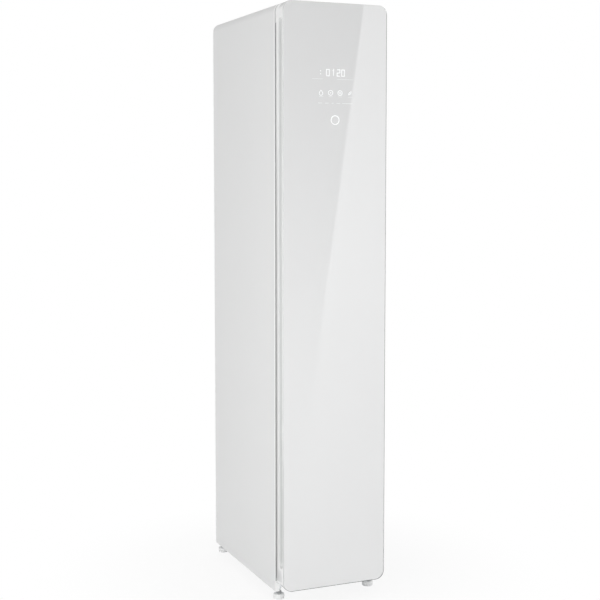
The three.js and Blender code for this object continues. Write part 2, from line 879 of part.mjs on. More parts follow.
function tankBay() {
  const plateZs = [baseTop + fit, cabinFloorZ - cabinWall - fit];
  const plate = block([-mouthX, mouthX], [caseFrontY, panelFrontY], plateZs);
  const outer = block(
    [-cabinHalf - cabinWall, cabinHalf + cabinWall],
    [caseFrontY, bayBackY + cabinWall],
    [bayFloorZ - cabinWall, bayTopZ + cabinWall],
  );
  const inner = block([-cabinHalf, cabinHalf], [caseFrontY - overrun, bayBackY], [bayFloorZ, bayTopZ]);
  const rib = block(
    [-ribWidth / 2, ribWidth / 2],
    [tankFrontY, bayBackY + cabinWall / 2],
    [bayFloorZ - cabinWall / 2, bayFloorZ + ribHeight],
  );
  const couplings = [-1, 1].map((side) => {
    const ys = [tankBackY + fit, bayBackY + cabinWall + couplingStub];
    return rod(side * tankMiddleX, pumpZ, couplingRadius, 'y', ys);
  });
  return join(cut(join(plate, outer), inner), rib, ...couplings);
}

// Side profile of a tank, with the step for the fingers near the top of its front
function tankProfile(inset, top) {
  const [front, back] = [tankFrontY + inset, tankBackY - inset];
  const low = bayFloorZ + fit + inset;
  const gripLow = tankTop - gripHeight - inset;
  return polygon([
    [front, low],
    [back, low],
    [back, top],
    [front + gripDepth, top],
    [front + gripDepth, gripLow],
    [front, gripLow - gripSlope],
  ]);
}

function tankPlan(side, inset) {
  const xs = [side * (tankInnerX + inset), side * (tankOuterX - inset)].sort((a, b) => a - b);
  return roundedOutline(xs, [tankFrontY + inset, tankBackY - inset], tankRadius - inset);
}

function tank(side) {
  const outerXs = [side * tankInnerX, side * tankOuterX];
  const innerXs = [side * (tankInnerX + tankWall), side * (tankOuterX - tankWall)];
  const zs = [bayFloorZ - overrun, tankTop + overrun];
  const outerPlan = extruded(tankPlan(side, 0), 'z', zs, 2);
  const innerPlan = extruded(tankPlan(side, tankWall), 'z', zs.map((z) => z + overrun), 2);
  const outer = extruded(tankProfile(0, tankTop), 'x', outerXs);
  const inner = extruded(tankProfile(tankWall, tankTop + overrun), 'x', innerXs);
  return cut(outer.intersect(outerPlan), inner.intersect(innerPlan));
}

function tankLid(side) {
  const plate = extruded(tankPlan(side, 0), 'z', [lidBottom, lidTop], 2);
  const lip = block(
    [side * (tankInnerX + tankRadius), side * (tankOuterX - tankRadius)],
    [tankFrontY, tankFrontY + lidLip],
    [lidBottom - lidLipDrop, lidTop],
  );
  return join(plate, lip);
}

function supplyTankLid() {
  const through = [lidBottom - overrun, lidTop + overrun];
  return cut(tankLid(-1), bore(-tankMiddleX, tankMiddleY, capPlugRadius + fit, 'z', through));
}

function drainTankLid() {
  const spout = roundedOutline(
    [tankMiddleX - spoutLength / 2, tankMiddleX + spoutLength / 2],
    [tankMiddleY - spoutWidth / 2, tankMiddleY + spoutWidth / 2],
    spoutWidth / 2 - fit,
  );
  return cut(tankLid(1), extruded(spout, 'z', [lidBottom - overrun, lidTop + overrun], 2));
}

function supplyTankCap() {
  const low = lidTop + fit;
  const [x, y] = [-tankMiddleX, tankMiddleY];
  const top = low + capHeight;
  const cap = rod(x, y, capRadius, 'z', [low, top], 16);
  const plug = rod(x, y, capPlugRadius, 'z', [lidTop - capPlugDepth, low + capHeight / 2]);
  const bar = block(
    [x - capBarReach, x + capBarReach],
    [y - capBarWidth / 2, y + capBarWidth / 2],
    [top - capHeight / 2, top + capBarHeight],
  );
  return join(cap, plug, bar);
}

// Hinge brackets and bushes

function hingeArm(ends, zs) {
  const arm = block([hingeX - hingeArmInner, hingeX + hingeArmOuter], ends, zs);
  return join(arm, rod(hingeX, hingeY, hingeEndRadius, 'z', zs));
}

function topHingeBracket() {
  const rootY = caseFrontY + hingeArmRoot;
  const arm = hingeArm([hingeY, rootY], [topArmZ, topArmZ + hingePlate]);
  const root = block(
    [hingeX - hingeArmInner, hingeX + hingeArmOuter],
    [panelFrontY + fit, rootY],
    [insulationTop + fit, topArmZ + hingePlate],
  );
  const pinLow = topArmZ - fit - bushFlange - pinLength;
  const pin = rod(hingeX, hingeY, pinRadius, 'z', [pinLow, topArmZ + hingePlate / 2]);
  return join(arm, root, pin);
}

function bottomHingeBracket() {
  const zs = [bottomArmTop - hingePlate, bottomArmTop];
  const rootY = caseFrontY + hingeArmRoot;
  const [footX, footY] = footPlaces().front_right;
  const arm = hingeArm([hingeY, rootY], zs);
  const edge = hingeX + hingeEndRadius;
  const plate = block([edge - bottomPlateWidth, edge], [caseFrontY + caseSheet + fit, rootY], zs);
  const tongue = block([hingeX, edge], [hingeY, rootY], zs);
  const hole = bore(footX, footY, socketRadius + fit, 'z', [zs[0] - overrun, zs[1] + overrun]);
  const pinTop = bottomArmTop + fit + bushFlange + pinLength;
  const pin = rod(hingeX, hingeY, pinRadius, 'z', [bottomArmTop - hingePlate / 2, pinTop]);
  return join(cut(join(arm, plate, tongue), hole), pin);
}

function hingeBush(zs, flangeZs) {
  const sleeve = rod(hingeX, hingeY, bushRadius, 'z', zs);
  const flange = rod(hingeX, hingeY, bushRadius + bushFlange, 'z', flangeZs);
  const through = [Math.min(...zs) - overrun, Math.max(...zs) + overrun];
  return cut(join(sleeve, flange), bore(hingeX, hingeY, pinRadius + turnGap, 'z', through));
}

function topHingeBush() {
  const top = topArmZ - fit;
  return hingeBush([top - bushFlange - pinLength, top], [top - bushFlange, top]);
}

function bottomHingeBush() {
  const low = bottomArmTop + fit;
  return hingeBush([low, low + bushFlange + pinLength], [low, low + bushFlange]);
}

// Door

function doorOutline(inset) {
  const half = sideX - inset;
  return roundedOutline([-half, half], [doorBottom + inset, height - inset], cornerRadius - inset);
}

function doorGlass() {
  const inset = glassBevel;
  const options = {
    depth: glassThickness - 2 * glassBevel,
    bevelThickness: glassBevel,
    bevelSize: glassBevel,
    bevelOffset: 0,
    bevelSegments: 1,
    curveSegments: 4,
  };
  const plate = new THREE.ExtrudeGeometry(doorOutline(inset), options);
  return solidFrom(placed(plate, 'y', frontY, glassBackY - glassBevel));
}

// The grip is a tall round-bottomed channel whose ends run out to nothing
function gripChannel(grow) {
  const radius = channelRadius + grow;
  const [low, high] = [channelBottom - grow, channelTop + grow];
  const profile = [];
  for (let i = 0; i <= channelSteps; i += 1) {
    const angle = (i / channelSteps) * Math.PI / 2;
    profile.push([radius * Math.sin(angle), low + channelRunOut * (1 - Math.cos(angle))]);
  }
  const upper = profile.map(([r, z]) => [r, high + low - z]).reverse();
  return turned([...profile, ...upper], channelX, channelY, 24);
}

// The back edge of the door is cut away beside the grip, so that the gap there is wider
function edgeRelief(grow) {
  return block(
    [-sideX - overrun, -sideX + reliefCutDepth + grow],
    [doorBackY - reliefCutWidth - grow, doorBackY + overrun],
    [reliefCutBottom - grow, reliefCutTop + grow],
  );
}

function hingePocket(grow) {
  return block(
    [hingeX - pocketSide - grow, sideX + overrun],
    [hingeY - pocketFront - grow, doorBackY + overrun],
    [pocketZ - grow, height + overrun],
  );
}

// Solid corners of the frame that hold the hinge bushes
function hingeCorners(grow) {
  const xs = [hingeX - pocketSide - grow, sideX + overrun];
  const ys = [hingeY - pocketFront - grow, doorBackY + overrun];
  const topZs = [pocketZ - pinLength - frameWall - grow, height + overrun];
  const bottomZs = [doorBottom - overrun, doorBottom + pinLength + grow];
  return join(block(xs, ys, topZs), block(xs, ys, bottomZs));
}

function bushHoles() {
  const radius = bushRadius + fit;
  const bottomTop = bottomArmTop + fit + bushFlange + pinLength + fit;
  return join(
    bore(hingeX, hingeY, radius, 'z', [pocketZ - pinLength - fit, pocketZ + overrun]),
    bore(hingeX, hingeY, radius, 'z', [doorBottom - overrun, bottomTop]),
  );
}

function doorFrame() {
  const outer = extruded(doorOutline(0), 'y', [frameFrontY, doorBackY]);
  const hollowYs = [frameFrontY + frameFlangeThickness, doorBackY + overrun];
  const hollow = extruded(doorOutline(frameWall), 'y', hollowYs);
  const mouth = extruded(doorOutline(frameFlange), 'y', [frameFrontY - overrun, doorBackY]);
  const keep = [gripChannel(frameWall), edgeRelief(frameWall), hingePocket(frameWall), hingeCorners(0)];
  const tools = [gripChannel(0), edgeRelief(0), hingePocket(0), bushHoles()];
  return cut(outer, cut(join(hollow, mouth), ...keep), ...tools);
}

// What the frame's own inner shapes leave no room for
function framePieces() {
  const grow = frameWall + fit;
  return [gripChannel(grow), edgeRelief(grow), hingePocket(grow), hingeCorners(fit)];
}

function dish(grow, ys) {
  const half = cabinHalf + grow;
  const outline = roundedOutline([-half, half], [dishBottom - grow, dishTop + grow], dishRadius + grow);
  return extruded(outline, 'y', ys, 2);
}

function doorLiner() {
  const sheet = extruded(doorOutline(frameWall + fit), 'y', [doorBackY - linerSheet, doorBackY]);
  const tray = dish(linerSheet, [dishBackY - linerSheet, doorBackY]);
  const recess = dish(0, [dishBackY, doorBackY + overrun]);
  return cut(join(cut(sheet, ...framePieces()), tray), recess);
}

function displaySpan(grow) {
  const top = height - displayTopDrop + grow;
  return [
    [-displayWidth / 2 - grow, displayWidth / 2 + grow],
    [frameFrontY - grow, frameFrontY + displayThickness + grow],
    [top - displayHeight - 2 * grow, top],
  ];
}

function doorCore() {
  const rear = [frameFrontY + frameFlangeThickness + fit, doorBackY - linerSheet - fit];
  const body = extruded(doorOutline(frameWall + fit), 'y', rear);
  const face = extruded(doorOutline(frameFlange + fit), 'y', [frameFrontY, rear[1]]);
  const tray = dish(linerSheet + fit, [dishBackY - linerSheet - fit, doorBackY]);
  return cut(join(body, face), tray, block(...displaySpan(fit)), ...framePieces());
}

function displayModule() {
  return block(...displaySpan(0));
}

function sealRing(outset, inset, ys) {
  const half = cabinHalf + sealInset;
  const [low, high] = [dishBottom - sealInset, dishTop + sealInset];
  const outer = roundedOutline(
    [-half - outset, half + outset],
    [low - outset, high + outset],
    sealRadius,
  );
  const innerXs = [-half - inset, half + inset];
  outer.holes.push(roundedOutline(innerXs, [low - inset, high + inset], sealRadius / 2));
  return extruded(outer, 'y', ys, 2);
}

function doorGasket() {
  const middleY = (doorBackY + caseFrontY) / 2;
  const base = sealRing(sealWidth, 0, [doorBackY + fit, middleY]);
  const magnet = sealRing(sealWidth - sealLipInset, sealLipInset, [middleY - fit, caseFrontY - fit]);
  return join(base, magnet);
}

// Shaker

function hangerBar() {
  const bar = rod(0, barZ, barRadius, 'x', [-barLength / 2, barLength / 2], 16);
  const stems = [-1, 1].map((side) => {
    const middle = side * stemSpacing / 2;
    return extruded(polygon([
      [middle - stemWidth / 2, barZ],
      [middle + stemWidth / 2, barZ],
      [middle + stemWidth / 2, cabinCeilingZ - stemWidth],
      [middle + stemTopWidth / 2, cabinCeilingZ],
      [middle + stemTopWidth / 2, carriageBottom - fit],
      [middle - stemTopWidth / 2, carriageBottom - fit],
      [middle - stemTopWidth / 2, cabinCeilingZ],
      [middle - stemWidth / 2, cabinCeilingZ - stemWidth],
    ]), 'y', [-stemThickness / 2, stemThickness / 2]);
  });
  const seats = [];
  for (let i = 0; i < barSeats; i += 1) {
    const x = (i - (barSeats - 1) / 2) * barSeatPitch;
    const seat = polygon([
      [x - barSeatWidth / 2, barZ + barRadius + overrun],
      [x - barSeatWidth / 2, barZ + barRadius],
      [x, barZ + barRadius - barSeatDepth],
      [x + barSeatWidth / 2, barZ + barRadius],
      [x + barSeatWidth / 2, barZ + barRadius + overrun],
    ]);
    seats.push(extruded(seat, 'y', [-barRadius - overrun, barRadius + overrun]));
  }
  return join(cut(bar, ...seats), ...stems);
}

function shakerCarriage() {
  const zs = [carriageBottom, carriageBottom + carriageHeight];
  const body = block([-carriageLength / 2, carriageLength / 2], [-carriageDepth / 2, carriageDepth / 2], zs);
  const rodBores = [-1, 1].map((side) => {
    const ends = [-carriageLength / 2 - overrun, carriageLength / 2 + overrun];
    return bore(side * rodSpacing / 2, rodZ, rodRadius + turnGap, 'x', ends);
  });
  const window = block(
    [-carriageWindow / 2, carriageWindow / 2],
    [-carriageDepth / 2 + stemThickness, rodSpacing / 2 - rodRadius - stemThickness],
    [zs[0] + yokeThickness, zs[1] + overrun],
  );
  const reach = shakeTravel + crankPinRadius + yokeThickness;
  const arm = block(
    [-yokeWidth / 2, yokeWidth / 2],
    [carriageDepth / 2 - yokeThickness, crankY + reach],
    [carriageBottom, yokeTop],
  );
  const slotHalf = crankPinRadius + fit;
  const slot = roundedOutline(
    [-slotHalf, slotHalf],
    [crankY - shakeTravel - slotHalf, crankY + shakeTravel + slotHalf],
    slotHalf - fit,
  );
  const yokeSlot = extruded(slot, 'z', [carriageBottom - overrun, yokeTop + overrun], 2);
  return cut(join(body, arm), ...rodBores, window, yokeSlot);
}

function guideRod(side) {
  return rod(side * rodSpacing / 2, rodZ, rodRadius, 'x', [-rodLength / 2, rodLength / 2]);
}

function shakerCrank() {
  const plate = rod(0, crankY, crankRadius, 'z', [crankDiscZ, crankDiscZ + crankThickness], 16);
  const middleZ = crankDiscZ + crankThickness / 2;
  const shaftTop = crankDiscZ + crankThickness + crankShaftLength;
  const pin = rod(0, crankY + shakeTravel, crankPinRadius, 'z', [yokeTop + crankPinGap, middleZ]);
  const shaft = rod(0, crankY, crankShaftRadius, 'z', [middleZ, shaftTop]);
  return join(plate, pin, shaft);
}

function shakerMotor() {
  const [halfX, halfY] = [motorFrameWidth / 2, motorFrameDepth / 2];
  const ys = [crankY - halfY, crankY + halfY];
  const frameTop = motorFrameZ + motorFrameSheet;
  const plate = block([-halfX, halfX], ys, [motorFrameZ, frameTop]);
  const legs = [-1, 1].map((side) => {
    return block([side * halfX, side * (halfX - motorFrameSheet)], ys, [ceilingTop + fit, frameTop]);
  });
  const can = rod(0, crankY, motorRadius, 'z', [frameTop - motorFrameSheet / 2, frameTop + motorHeight], 16);
  const shaftTop = crankDiscZ + crankThickness + crankShaftLength;
  const shaftHole = bore(0, crankY, crankShaftRadius + handGap, 'z', [motorFrameZ - overrun, shaftTop + fit]);
  return cut(join(plate, ...legs, can), shaftHole);
}

function boardPosts() {
  const middleY = cabinBackY - boardBackGap - boardDepth / 2;
  const [dx, dy] = [boardWidth / 2 - boardInset, boardDepth / 2 - boardInset];
  return [[-dx, middleY - dy], [dx, middleY - dy], [-dx, middleY + dy], [dx, middleY + dy]];
}

function controlBoard() {
  const ys = [cabinBackY - boardBackGap - boardDepth, cabinBackY - boardBackGap];
  const low = ceilingTop + boardPost + fit;
  const board = block([-boardWidth / 2, boardWidth / 2], ys, [low, low + boardThickness]);
  const middleY = (ys[0] + ys[1]) / 2;
  const onBoard = low + boardThickness / 2;
  const blocks = blockShares.map(([x, y, w, d, tall]) => block(
    [(x - w / 2) * boardWidth, (x + w / 2) * boardWidth],
    [middleY + (y - d / 2) * boardDepth, middleY + (y + d / 2) * boardDepth],
    [onBoard, low + tall * boardThickness],
  ));
  const cans = capacitorShares.map((share) => {
    const y = middleY - boardDepth / 4;
    return rod(share * boardWidth, y, capacitorRadius, 'z', [onBoard, low + capacitorHeight], 10);
  });
  return join(board, ...blocks, ...cans);
}

// Air duct and heat pump

function scrollRadius(share) {
  return fanRadius + scrollGap + scrollGrowth * share;
}

function fanScroll() {
  const rim = (offset) => {
    const points = [];
    for (let i = 0; i <= scrollSteps; i += 1) {
      const share = i / scrollSteps;
      const angle = Math.PI * (scrollStartShare - share * scrollSweepShare);
      const radius = scrollRadius(share) + offset;
      points.push([ductMiddleX + radius * Math.cos(angle), fanY + radius * Math.sin(angle)]);
    }
    return points;
  };
  const wall = polygon([...rim(0), ...rim(scrollWall).reverse()]);
  return extruded(wall, 'z', [ductBottom + ductWall / 2, ductBottom + ductWall + scrollHeight]);
}

function airDuct() {
  const xs = [ductLeft, ductRight];
  const ys = [ductFrontY, ductBackY];
  const outer = block(xs, ys, [ductBottom, ductTop]);
  const inner = block(
    [xs[0] + ductWall, xs[1] - ductWall],
    [ys[0] + ductWall, ys[1] - ductWall],
    [ductBottom + ductWall, ductTop + overrun],
  );
  const shaftHoleZs = [ductBottom - overrun, ductBottom + overrun];
  const shaftHole = bore(ductMiddleX, fanY, fanShaftRadius + handGap, 'z', shaftHoleZs);
  const drainLow = ductBottom - ductDrainLength;
  const drain = rod(ductDrainX, pumpY, feedHoseRadius + ductWall, 'z', [drainLow, ductBottom + ductWall / 2]);
  const drainHole = bore(ductDrainX, pumpY, feedHoseRadius, 'z', [drainLow - overrun, ductBottom + overrun]);
  return cut(join(cut(outer, inner), fanScroll(), drain), shaftHole, drainHole);
}

// A coil block: upright fins on both sides of a middle web
function coil(y) {
  const [left, right] = [ductLeft + ductWall + fit, ductRight - ductWall - fit];
  const pitch = (right - left - coilFinThickness) / (coilFins - 1);
  const [front, back] = [y, y + coilThickness];
  const webFront = (front + back) / 2 - coilFinThickness;
  const webBack = (front + back) / 2 + coilFinThickness;
  const edge = (outerY, webY) => {
    const points = [];
    for (let i = 0; i < coilFins; i += 1) {
      const x = left + i * pitch;
      points.push([x, webY], [x, outerY], [x + coilFinThickness, outerY], [x + coilFinThickness, webY]);
    }
    return points;
  };
  const outline = polygon([...edge(front, webFront), ...edge(back, webBack).reverse()]);
  return extruded(outline, 'z', [ductBottom + ductWall + fit, ductTop - coilHeadroom]);
}

function fanBlade(angle, zs) {
  const lean = fanBladeLean;
  const half = fanBladeThickness / 2;
  const blade = new THREE.Shape();
  const root = fanRadius - fanBladeLength;
  blade.moveTo(root, -half);
  blade.quadraticCurveTo(fanRadius - half, -half, fanRadius - half, lean - half);
  blade.lineTo(fanRadius - half - fanBladeThickness, lean - half);
  blade.quadraticCurveTo(fanRadius - half - fanBladeThickness, half, root, half);
  const options = { depth: zs[1] - zs[0], bevelEnabled: false, curveSegments: 2 };
  const geometry = new THREE.ExtrudeGeometry(blade, options);
  return solidFrom(geometry.rotateZ(angle).translate(ductMiddleX, fanY, zs[0]));
}

function fanWheel() {
  const low = ductBottom + ductWall + fanLift;
  const top = low + fanHeight;
  const blades = [];
  for (let i = 0; i < fanBlades; i += 1) {
    blades.push(fanBlade((2 * Math.PI * i) / fanBlades, [low + fanPlate / 2, top - fanRing / 2]));
  }
  const plate = rod(ductMiddleX, fanY, fanRadius, 'z', [low, low + fanPlate], fanSides);
  const ring = cut(
    rod(ductMiddleX, fanY, fanRadius, 'z', [top - fanRing, top], fanSides),
    bore(ductMiddleX, fanY, fanRadius - fanRing, 'z', [top - fanRing - overrun, top + overrun], fanSides),
  );
  const hub = rod(ductMiddleX, fanY, fanHubRadius, 'z', [low - fanPlate, low + fanHubHeight]);
  const shaft = rod(ductMiddleX, fanY, fanShaftRadius, 'z', [ductBottom, low]);
  return join(plate, ring, hub, shaft, ...blades);
}

function fanMotor() {
  const top = ductBottom - fit;
  return turned([
    [0, top - fanMotorHeight],
    [fanMotorRadius - fanMotorBoss, top - fanMotorHeight],
    [fanMotorRadius, top - fanMotorHeight + fanMotorBoss],
    [fanMotorRadius, top],
    [0, top],
  ], ductMiddleX, fanY);
}

function compressorFeet() {
  return [0, 1, 2].map((i) => {
    const angle = Math.PI / 2 + (i * 2 * Math.PI) / 3;
    const foot = new THREE.Vector2(compressorFootReach, 0).rotateAround(new THREE.Vector2(), angle);
    return [compressorX + foot.x, compressorY + foot.y];
  });
}

function compressor() {
  const low = compressorBase;
  const plateTop = low + compressorPlate;
  const waist = compressorRadius - compressorPlate;
  const can = turned([
    [0, low],
    [waist, low],
    [waist, plateTop + compressorPlate],
    [compressorRadius, plateTop + 2 * compressorPlate],
    [compressorRadius, compressorTop - compressorDome],
    ...domeShares.map(([across, down]) => [compressorRadius * across, compressorTop - compressorDome * down]),
    [0, compressorTop],
  ], compressorX, compressorY, 16);
  const feet = compressorFeet().map(([x, y]) => rod(x, y, compressorFootRadius, 'z', [low, plateTop]));
  const stubZs = [compressorTop - compressorDome, compressorTop + pipeStub];
  const stubs = [suctionOffset, dischargeOffset].map((offset) => {
    return rod(compressorX + offset, compressorY, pipeRadius + pipeSocket, 'z', stubZs);
  });
  return join(can, ...feet, ...stubs);
}

function compressorMount() {
  const low = baseFloorTop + fit;
  const plateTop = low + mountPlate;
  const reach = compressorFootReach + mountPostRadius;
  const plate = rod(compressorX, compressorY, reach, 'z', [low, plateTop], 16);
  const posts = compressorFeet().map(([x, y]) => {
    return rod(x, y, mountPostRadius, 'z', [low + mountPlate / 2, plateTop + mountPostHeight]);
  });
  return join(plate, ...posts);
}

// A copper pipe from a compressor stub up to the duct, with a bend towards the coils
function coolantPipe(offset) {
  const x = compressorX + offset;
  const endY = bayBackY + cabinWall + pipeBayGap;
  const low = compressorTop + pipeStub + fit;
  const high = ductBottom - fit;
  const pull = (high - low) * pullShare;
  const points = [
    [x, compressorY, low],
    [x, compressorY, low + pull],
    [x, endY, high - pull],
    [x, endY, high],
  ];
  return tube(points, pipeRadius, 10, 6);
}

function generatorOutline(grow) {
  return roundedOutline(
    [generatorX - generatorWidth / 2 - grow, generatorX + generatorWidth / 2 + grow],
    [generatorY - generatorDepth / 2 - grow, generatorY + generatorDepth / 2 + grow],
    generatorRadius + grow,
  );
}

function steamGenerator() {
  const tub = extruded(generatorOutline(0), 'z', [generatorBase, generatorTop], 2);
  const bandTop = generatorTop - generatorBandHeight;
  const band = extruded(generatorOutline(generatorBand), 'z', [bandTop - generatorBandHeight, bandTop], 2);
  const stub = rod(generatorX, generatorY, hoseRadius, 'z', [bandTop, generatorTop + generatorStub]);
  return join(tub, band, stub);
}

function steamHose() {
  const low = generatorTop + generatorStub + fit;
  const high = cabinFloorZ - nozzleStem - fit;
  const pull = (high - low) * pullShare;
  return tube([
    [generatorX, generatorY, low],
    [generatorX, generatorY, low + pull],
    [nozzleX, nozzleY, high - pull],
    [nozzleX, nozzleY, high],
  ], hoseRadius, 10);
}

function pump(x) {
  const body = rod(x, pumpZ, pumpRadius, 'y', [pumpY - pumpLength / 2, pumpY + pumpLength / 2], 14);
  const inlet = rod(x, pumpZ, couplingRadius, 'y', [pumpInletY, pumpY]);
  const stand = block(
    [x - pumpFootWidth / 2, x + pumpFootWidth / 2],
    [pumpY - pumpLength / 4, pumpY + pumpLength / 4],
    [baseFloorTop + fit, pumpZ],
  );
  const outlet = rod(x, pumpY, feedHoseRadius, 'z', [pumpZ, pumpZ + pumpRadius + couplingStub]);
  return join(body, inlet, stand, outlet);
}

function feedHose() {
  const low = pumpZ + pumpRadius + couplingStub + fit;
  const endY = generatorY - generatorDepth / 2 - generatorBand - fit;
  const endZ = generatorTop - generatorBandHeight - generatorBandHeight / 2;
  const pull = endY - pumpY;
  return tube([
    [-tankMiddleX, pumpY, low],
    [-tankMiddleX, pumpY, low + pull],
    [generatorX, endY - pull, endZ],
    [generatorX, endY, endZ],
  ], feedHoseRadius, 14, 6);
}

function drainHose() {
  const low = pumpZ + pumpRadius + couplingStub + fit;
  const high = ductBottom - ductDrainLength - fit;
  const pull = (high - low) * pullShare;
  return tube([
    [tankMiddleX, pumpY, low],
    [tankMiddleX, pumpY, low + pull],
    [ductDrainX, pumpY, high - pull],
    [ductDrainX, pumpY, high],
  ], feedHoseRadius, 10, 6);
}

// Assembly

const cabinet = new THREE.Group();

function add(name, solid, look) {
  const { numProp, vertProperties, triVerts } = solid.getMesh();
  const geometry = new THREE.BufferGeometry();
  geometry.setAttribute('position', new THREE.BufferAttribute(vertProperties, numProp));
  geometry.setIndex(new THREE.BufferAttribute(triVerts, 1));
  geometry.computeVertexNormals();
  const mesh = new THREE.Mesh(geometry, new THREE.MeshStandardMaterial(look));
  mesh.name = name;
  cabinet.add(mesh);
}

add('outer_case', outerCase(), paintedSteel);
add('rear_panel', rearPanel(), paintedSteel);
add('cord_gland', cordGland(), blackRubber);
add('base_frame', baseFrame(), steel);
for (const [place, point] of Object.entries(footPlaces())) add(`foot_${place}`, foot(point), whitePlastic);
add('insulation_left', sideInsulation(-1), foam);
add('insulation_right', sideInsulation(1), foam);
add('insulation_back', backInsulation(), foam);

add('cabin_wall_left', sideWall(-1), cabinPlastic);
add('cabin_wall_right', sideWall(1), cabinPlastic);
add('cabin_wall_back', backWall(), cabinPlastic);
add('cabin_ceiling', ceiling(), cabinPlastic);
add('cabin_floor', cabinFloor(), cabinPlastic);
add('cabin_lamp', cabinLamp(), clearPlastic);
add('shelf', shelf(), whitePlastic);
add('lint_filter', lintFilter(), greyPlastic);
add('aroma_case', aromaCase(), bluePlastic);
add('steam_nozzle', steamNozzle(), greyPlastic);

add('tank_bay', tankBay(), cabinPlastic);
add('supply_tank', tank(-1), clearPlastic);
add('supply_tank_lid', supplyTankLid(), whitePlastic);
add('supply_tank_cap', supplyTankCap(), bluePlastic);
add('drain_tank', tank(1), clearPlastic);
add('drain_tank_lid', drainTankLid(), greyPlastic);

add('top_hinge_bracket', topHingeBracket(), steel);
add('bottom_hinge_bracket', bottomHingeBracket(), steel);
add('top_hinge_bush', topHingeBush(), darkPlastic);
add('bottom_hinge_bush', bottomHingeBush(), darkPlastic);
add('door_frame', doorFrame(), whitePlastic);
add('door_glass', doorGlass(), whiteGlass);
add('door_core', doorCore(), foam);
add('door_liner', doorLiner(), cabinPlastic);
add('door_gasket', doorGasket(), rubber);
add('display_module', displayModule(), darkPlastic);

add('hanger_bar', hangerBar(), greyPlastic);
add('shaker_carriage', shakerCarriage(), darkPlastic);
add('guide_rod_front', guideRod(-1), steel);
add('guide_rod_rear', guideRod(1), steel);
add('shaker_crank', shakerCrank(), aluminium);
add('shaker_motor', shakerMotor(), blackPaint);
add('control_board', controlBoard(), boardGreen);

add('air_duct', airDuct(), greyPlastic);
add('evaporator', coil(coilFrontY), aluminium);
add('condenser', coil(coilFrontY + coilSpacing), aluminium);
add('fan_wheel', fanWheel(), darkPlastic);
add('fan_motor', fanMotor(), blackPaint);

add('compressor', compressor(), blackPaint);
add('compressor_mount', compressorMount(), blackRubber);
add('suction_pipe', coolantPipe(suctionOffset), copper);
add('discharge_pipe', coolantPipe(dischargeOffset), copper);
add('steam_generator', steamGenerator(), aluminium);
add('steam_hose', steamHose(), blackRubber);
add('feed_pump', pump(-tankMiddleX), darkPlastic);
add('drain_pump', pump(tankMiddleX), darkPlastic);
add('feed_hose', feedHose(), blackRubber);
add('drain_hose', drainHose(), blackRubber);

export default cabinet;
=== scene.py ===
# %% [markdown]
# # A clothes care steam cabinet
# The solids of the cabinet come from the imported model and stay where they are. This lesson
# photographs them in a white studio and gives each one the finish of the real piece: painted
# steel, a glass door painted white behind, moulded plastics, clear tanks, seals and metal.

import json
import math

import bmesh
import bpy
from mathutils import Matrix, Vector


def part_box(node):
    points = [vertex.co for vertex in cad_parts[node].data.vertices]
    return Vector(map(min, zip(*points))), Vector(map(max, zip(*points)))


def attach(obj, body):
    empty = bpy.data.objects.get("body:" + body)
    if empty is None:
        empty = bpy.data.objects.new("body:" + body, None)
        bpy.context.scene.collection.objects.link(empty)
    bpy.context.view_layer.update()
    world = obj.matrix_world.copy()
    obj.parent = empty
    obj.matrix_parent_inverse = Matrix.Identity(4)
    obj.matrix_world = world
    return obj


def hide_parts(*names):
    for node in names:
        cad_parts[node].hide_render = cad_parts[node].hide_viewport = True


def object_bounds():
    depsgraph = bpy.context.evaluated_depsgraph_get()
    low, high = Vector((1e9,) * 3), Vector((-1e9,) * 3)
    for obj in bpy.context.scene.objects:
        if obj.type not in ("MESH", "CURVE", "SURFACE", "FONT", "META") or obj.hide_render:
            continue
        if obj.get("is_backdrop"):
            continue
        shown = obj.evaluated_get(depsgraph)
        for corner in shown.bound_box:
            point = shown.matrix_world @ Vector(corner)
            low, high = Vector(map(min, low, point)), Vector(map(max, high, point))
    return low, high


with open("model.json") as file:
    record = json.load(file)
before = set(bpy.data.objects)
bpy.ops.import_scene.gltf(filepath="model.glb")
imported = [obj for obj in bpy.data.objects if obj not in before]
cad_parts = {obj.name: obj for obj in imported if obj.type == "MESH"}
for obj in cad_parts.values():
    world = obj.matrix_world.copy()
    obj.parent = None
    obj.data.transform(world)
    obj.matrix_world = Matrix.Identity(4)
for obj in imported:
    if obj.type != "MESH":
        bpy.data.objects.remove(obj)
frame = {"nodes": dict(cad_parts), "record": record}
cad_low, cad_high = (corner.copy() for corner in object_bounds())
scene = bpy.context.scene
MM = 0.001
print("cabinet from", tuple(round(v, 4) for v in cad_low), "to", tuple(round(v, 4) for v in cad_high))

# %% [markdown]
# ## The camera
# A tall, narrow cabinet is photographed from about chest height and a little to its left, so
# that the glass door and one painted side show together. The lens is long, which keeps the
# upright edges nearly parallel. The camera looks down by a few degrees, and a small shift of
# the lens sets the cabinet in the middle of the picture.

# %% Place the camera
image_side = 600
focal_pixels = 1208.942
sensor_width = 36
view_shift = -0.04
camera_place = (-1.55228, -3.666665, 1.320407)
camera_yaw = math.radians(23.167)
camera_pitch = math.radians(4.695)
quarter_turn = math.pi / 2

camera_data = bpy.data.cameras.new("studio_camera")
camera_data.sensor_width = sensor_width
camera_data.lens = focal_pixels * sensor_width / image_side
camera_data.shift_y = view_shift
camera = bpy.data.objects.new("studio_camera", camera_data)
camera.location = camera_place
camera.rotation_euler = (quarter_turn - camera_pitch, 0, -camera_yaw)
scene.collection.objects.link(camera)
scene.camera = camera
scene.view_settings.view_transform = "Standard"
print("lens", round(camera_data.lens, 2), "mm")

# %% [markdown]
# ## Building node trees
# Every finish below is a small tree of shader nodes. A few helpers keep them readable: `put`
# adds one node and fills its inputs, either with a value or by joining another node's output,
# and `new_group` starts a node group with named sockets, so one effect serves many finishes.
# A socket is given by its default value, or by its type where it needs no default.

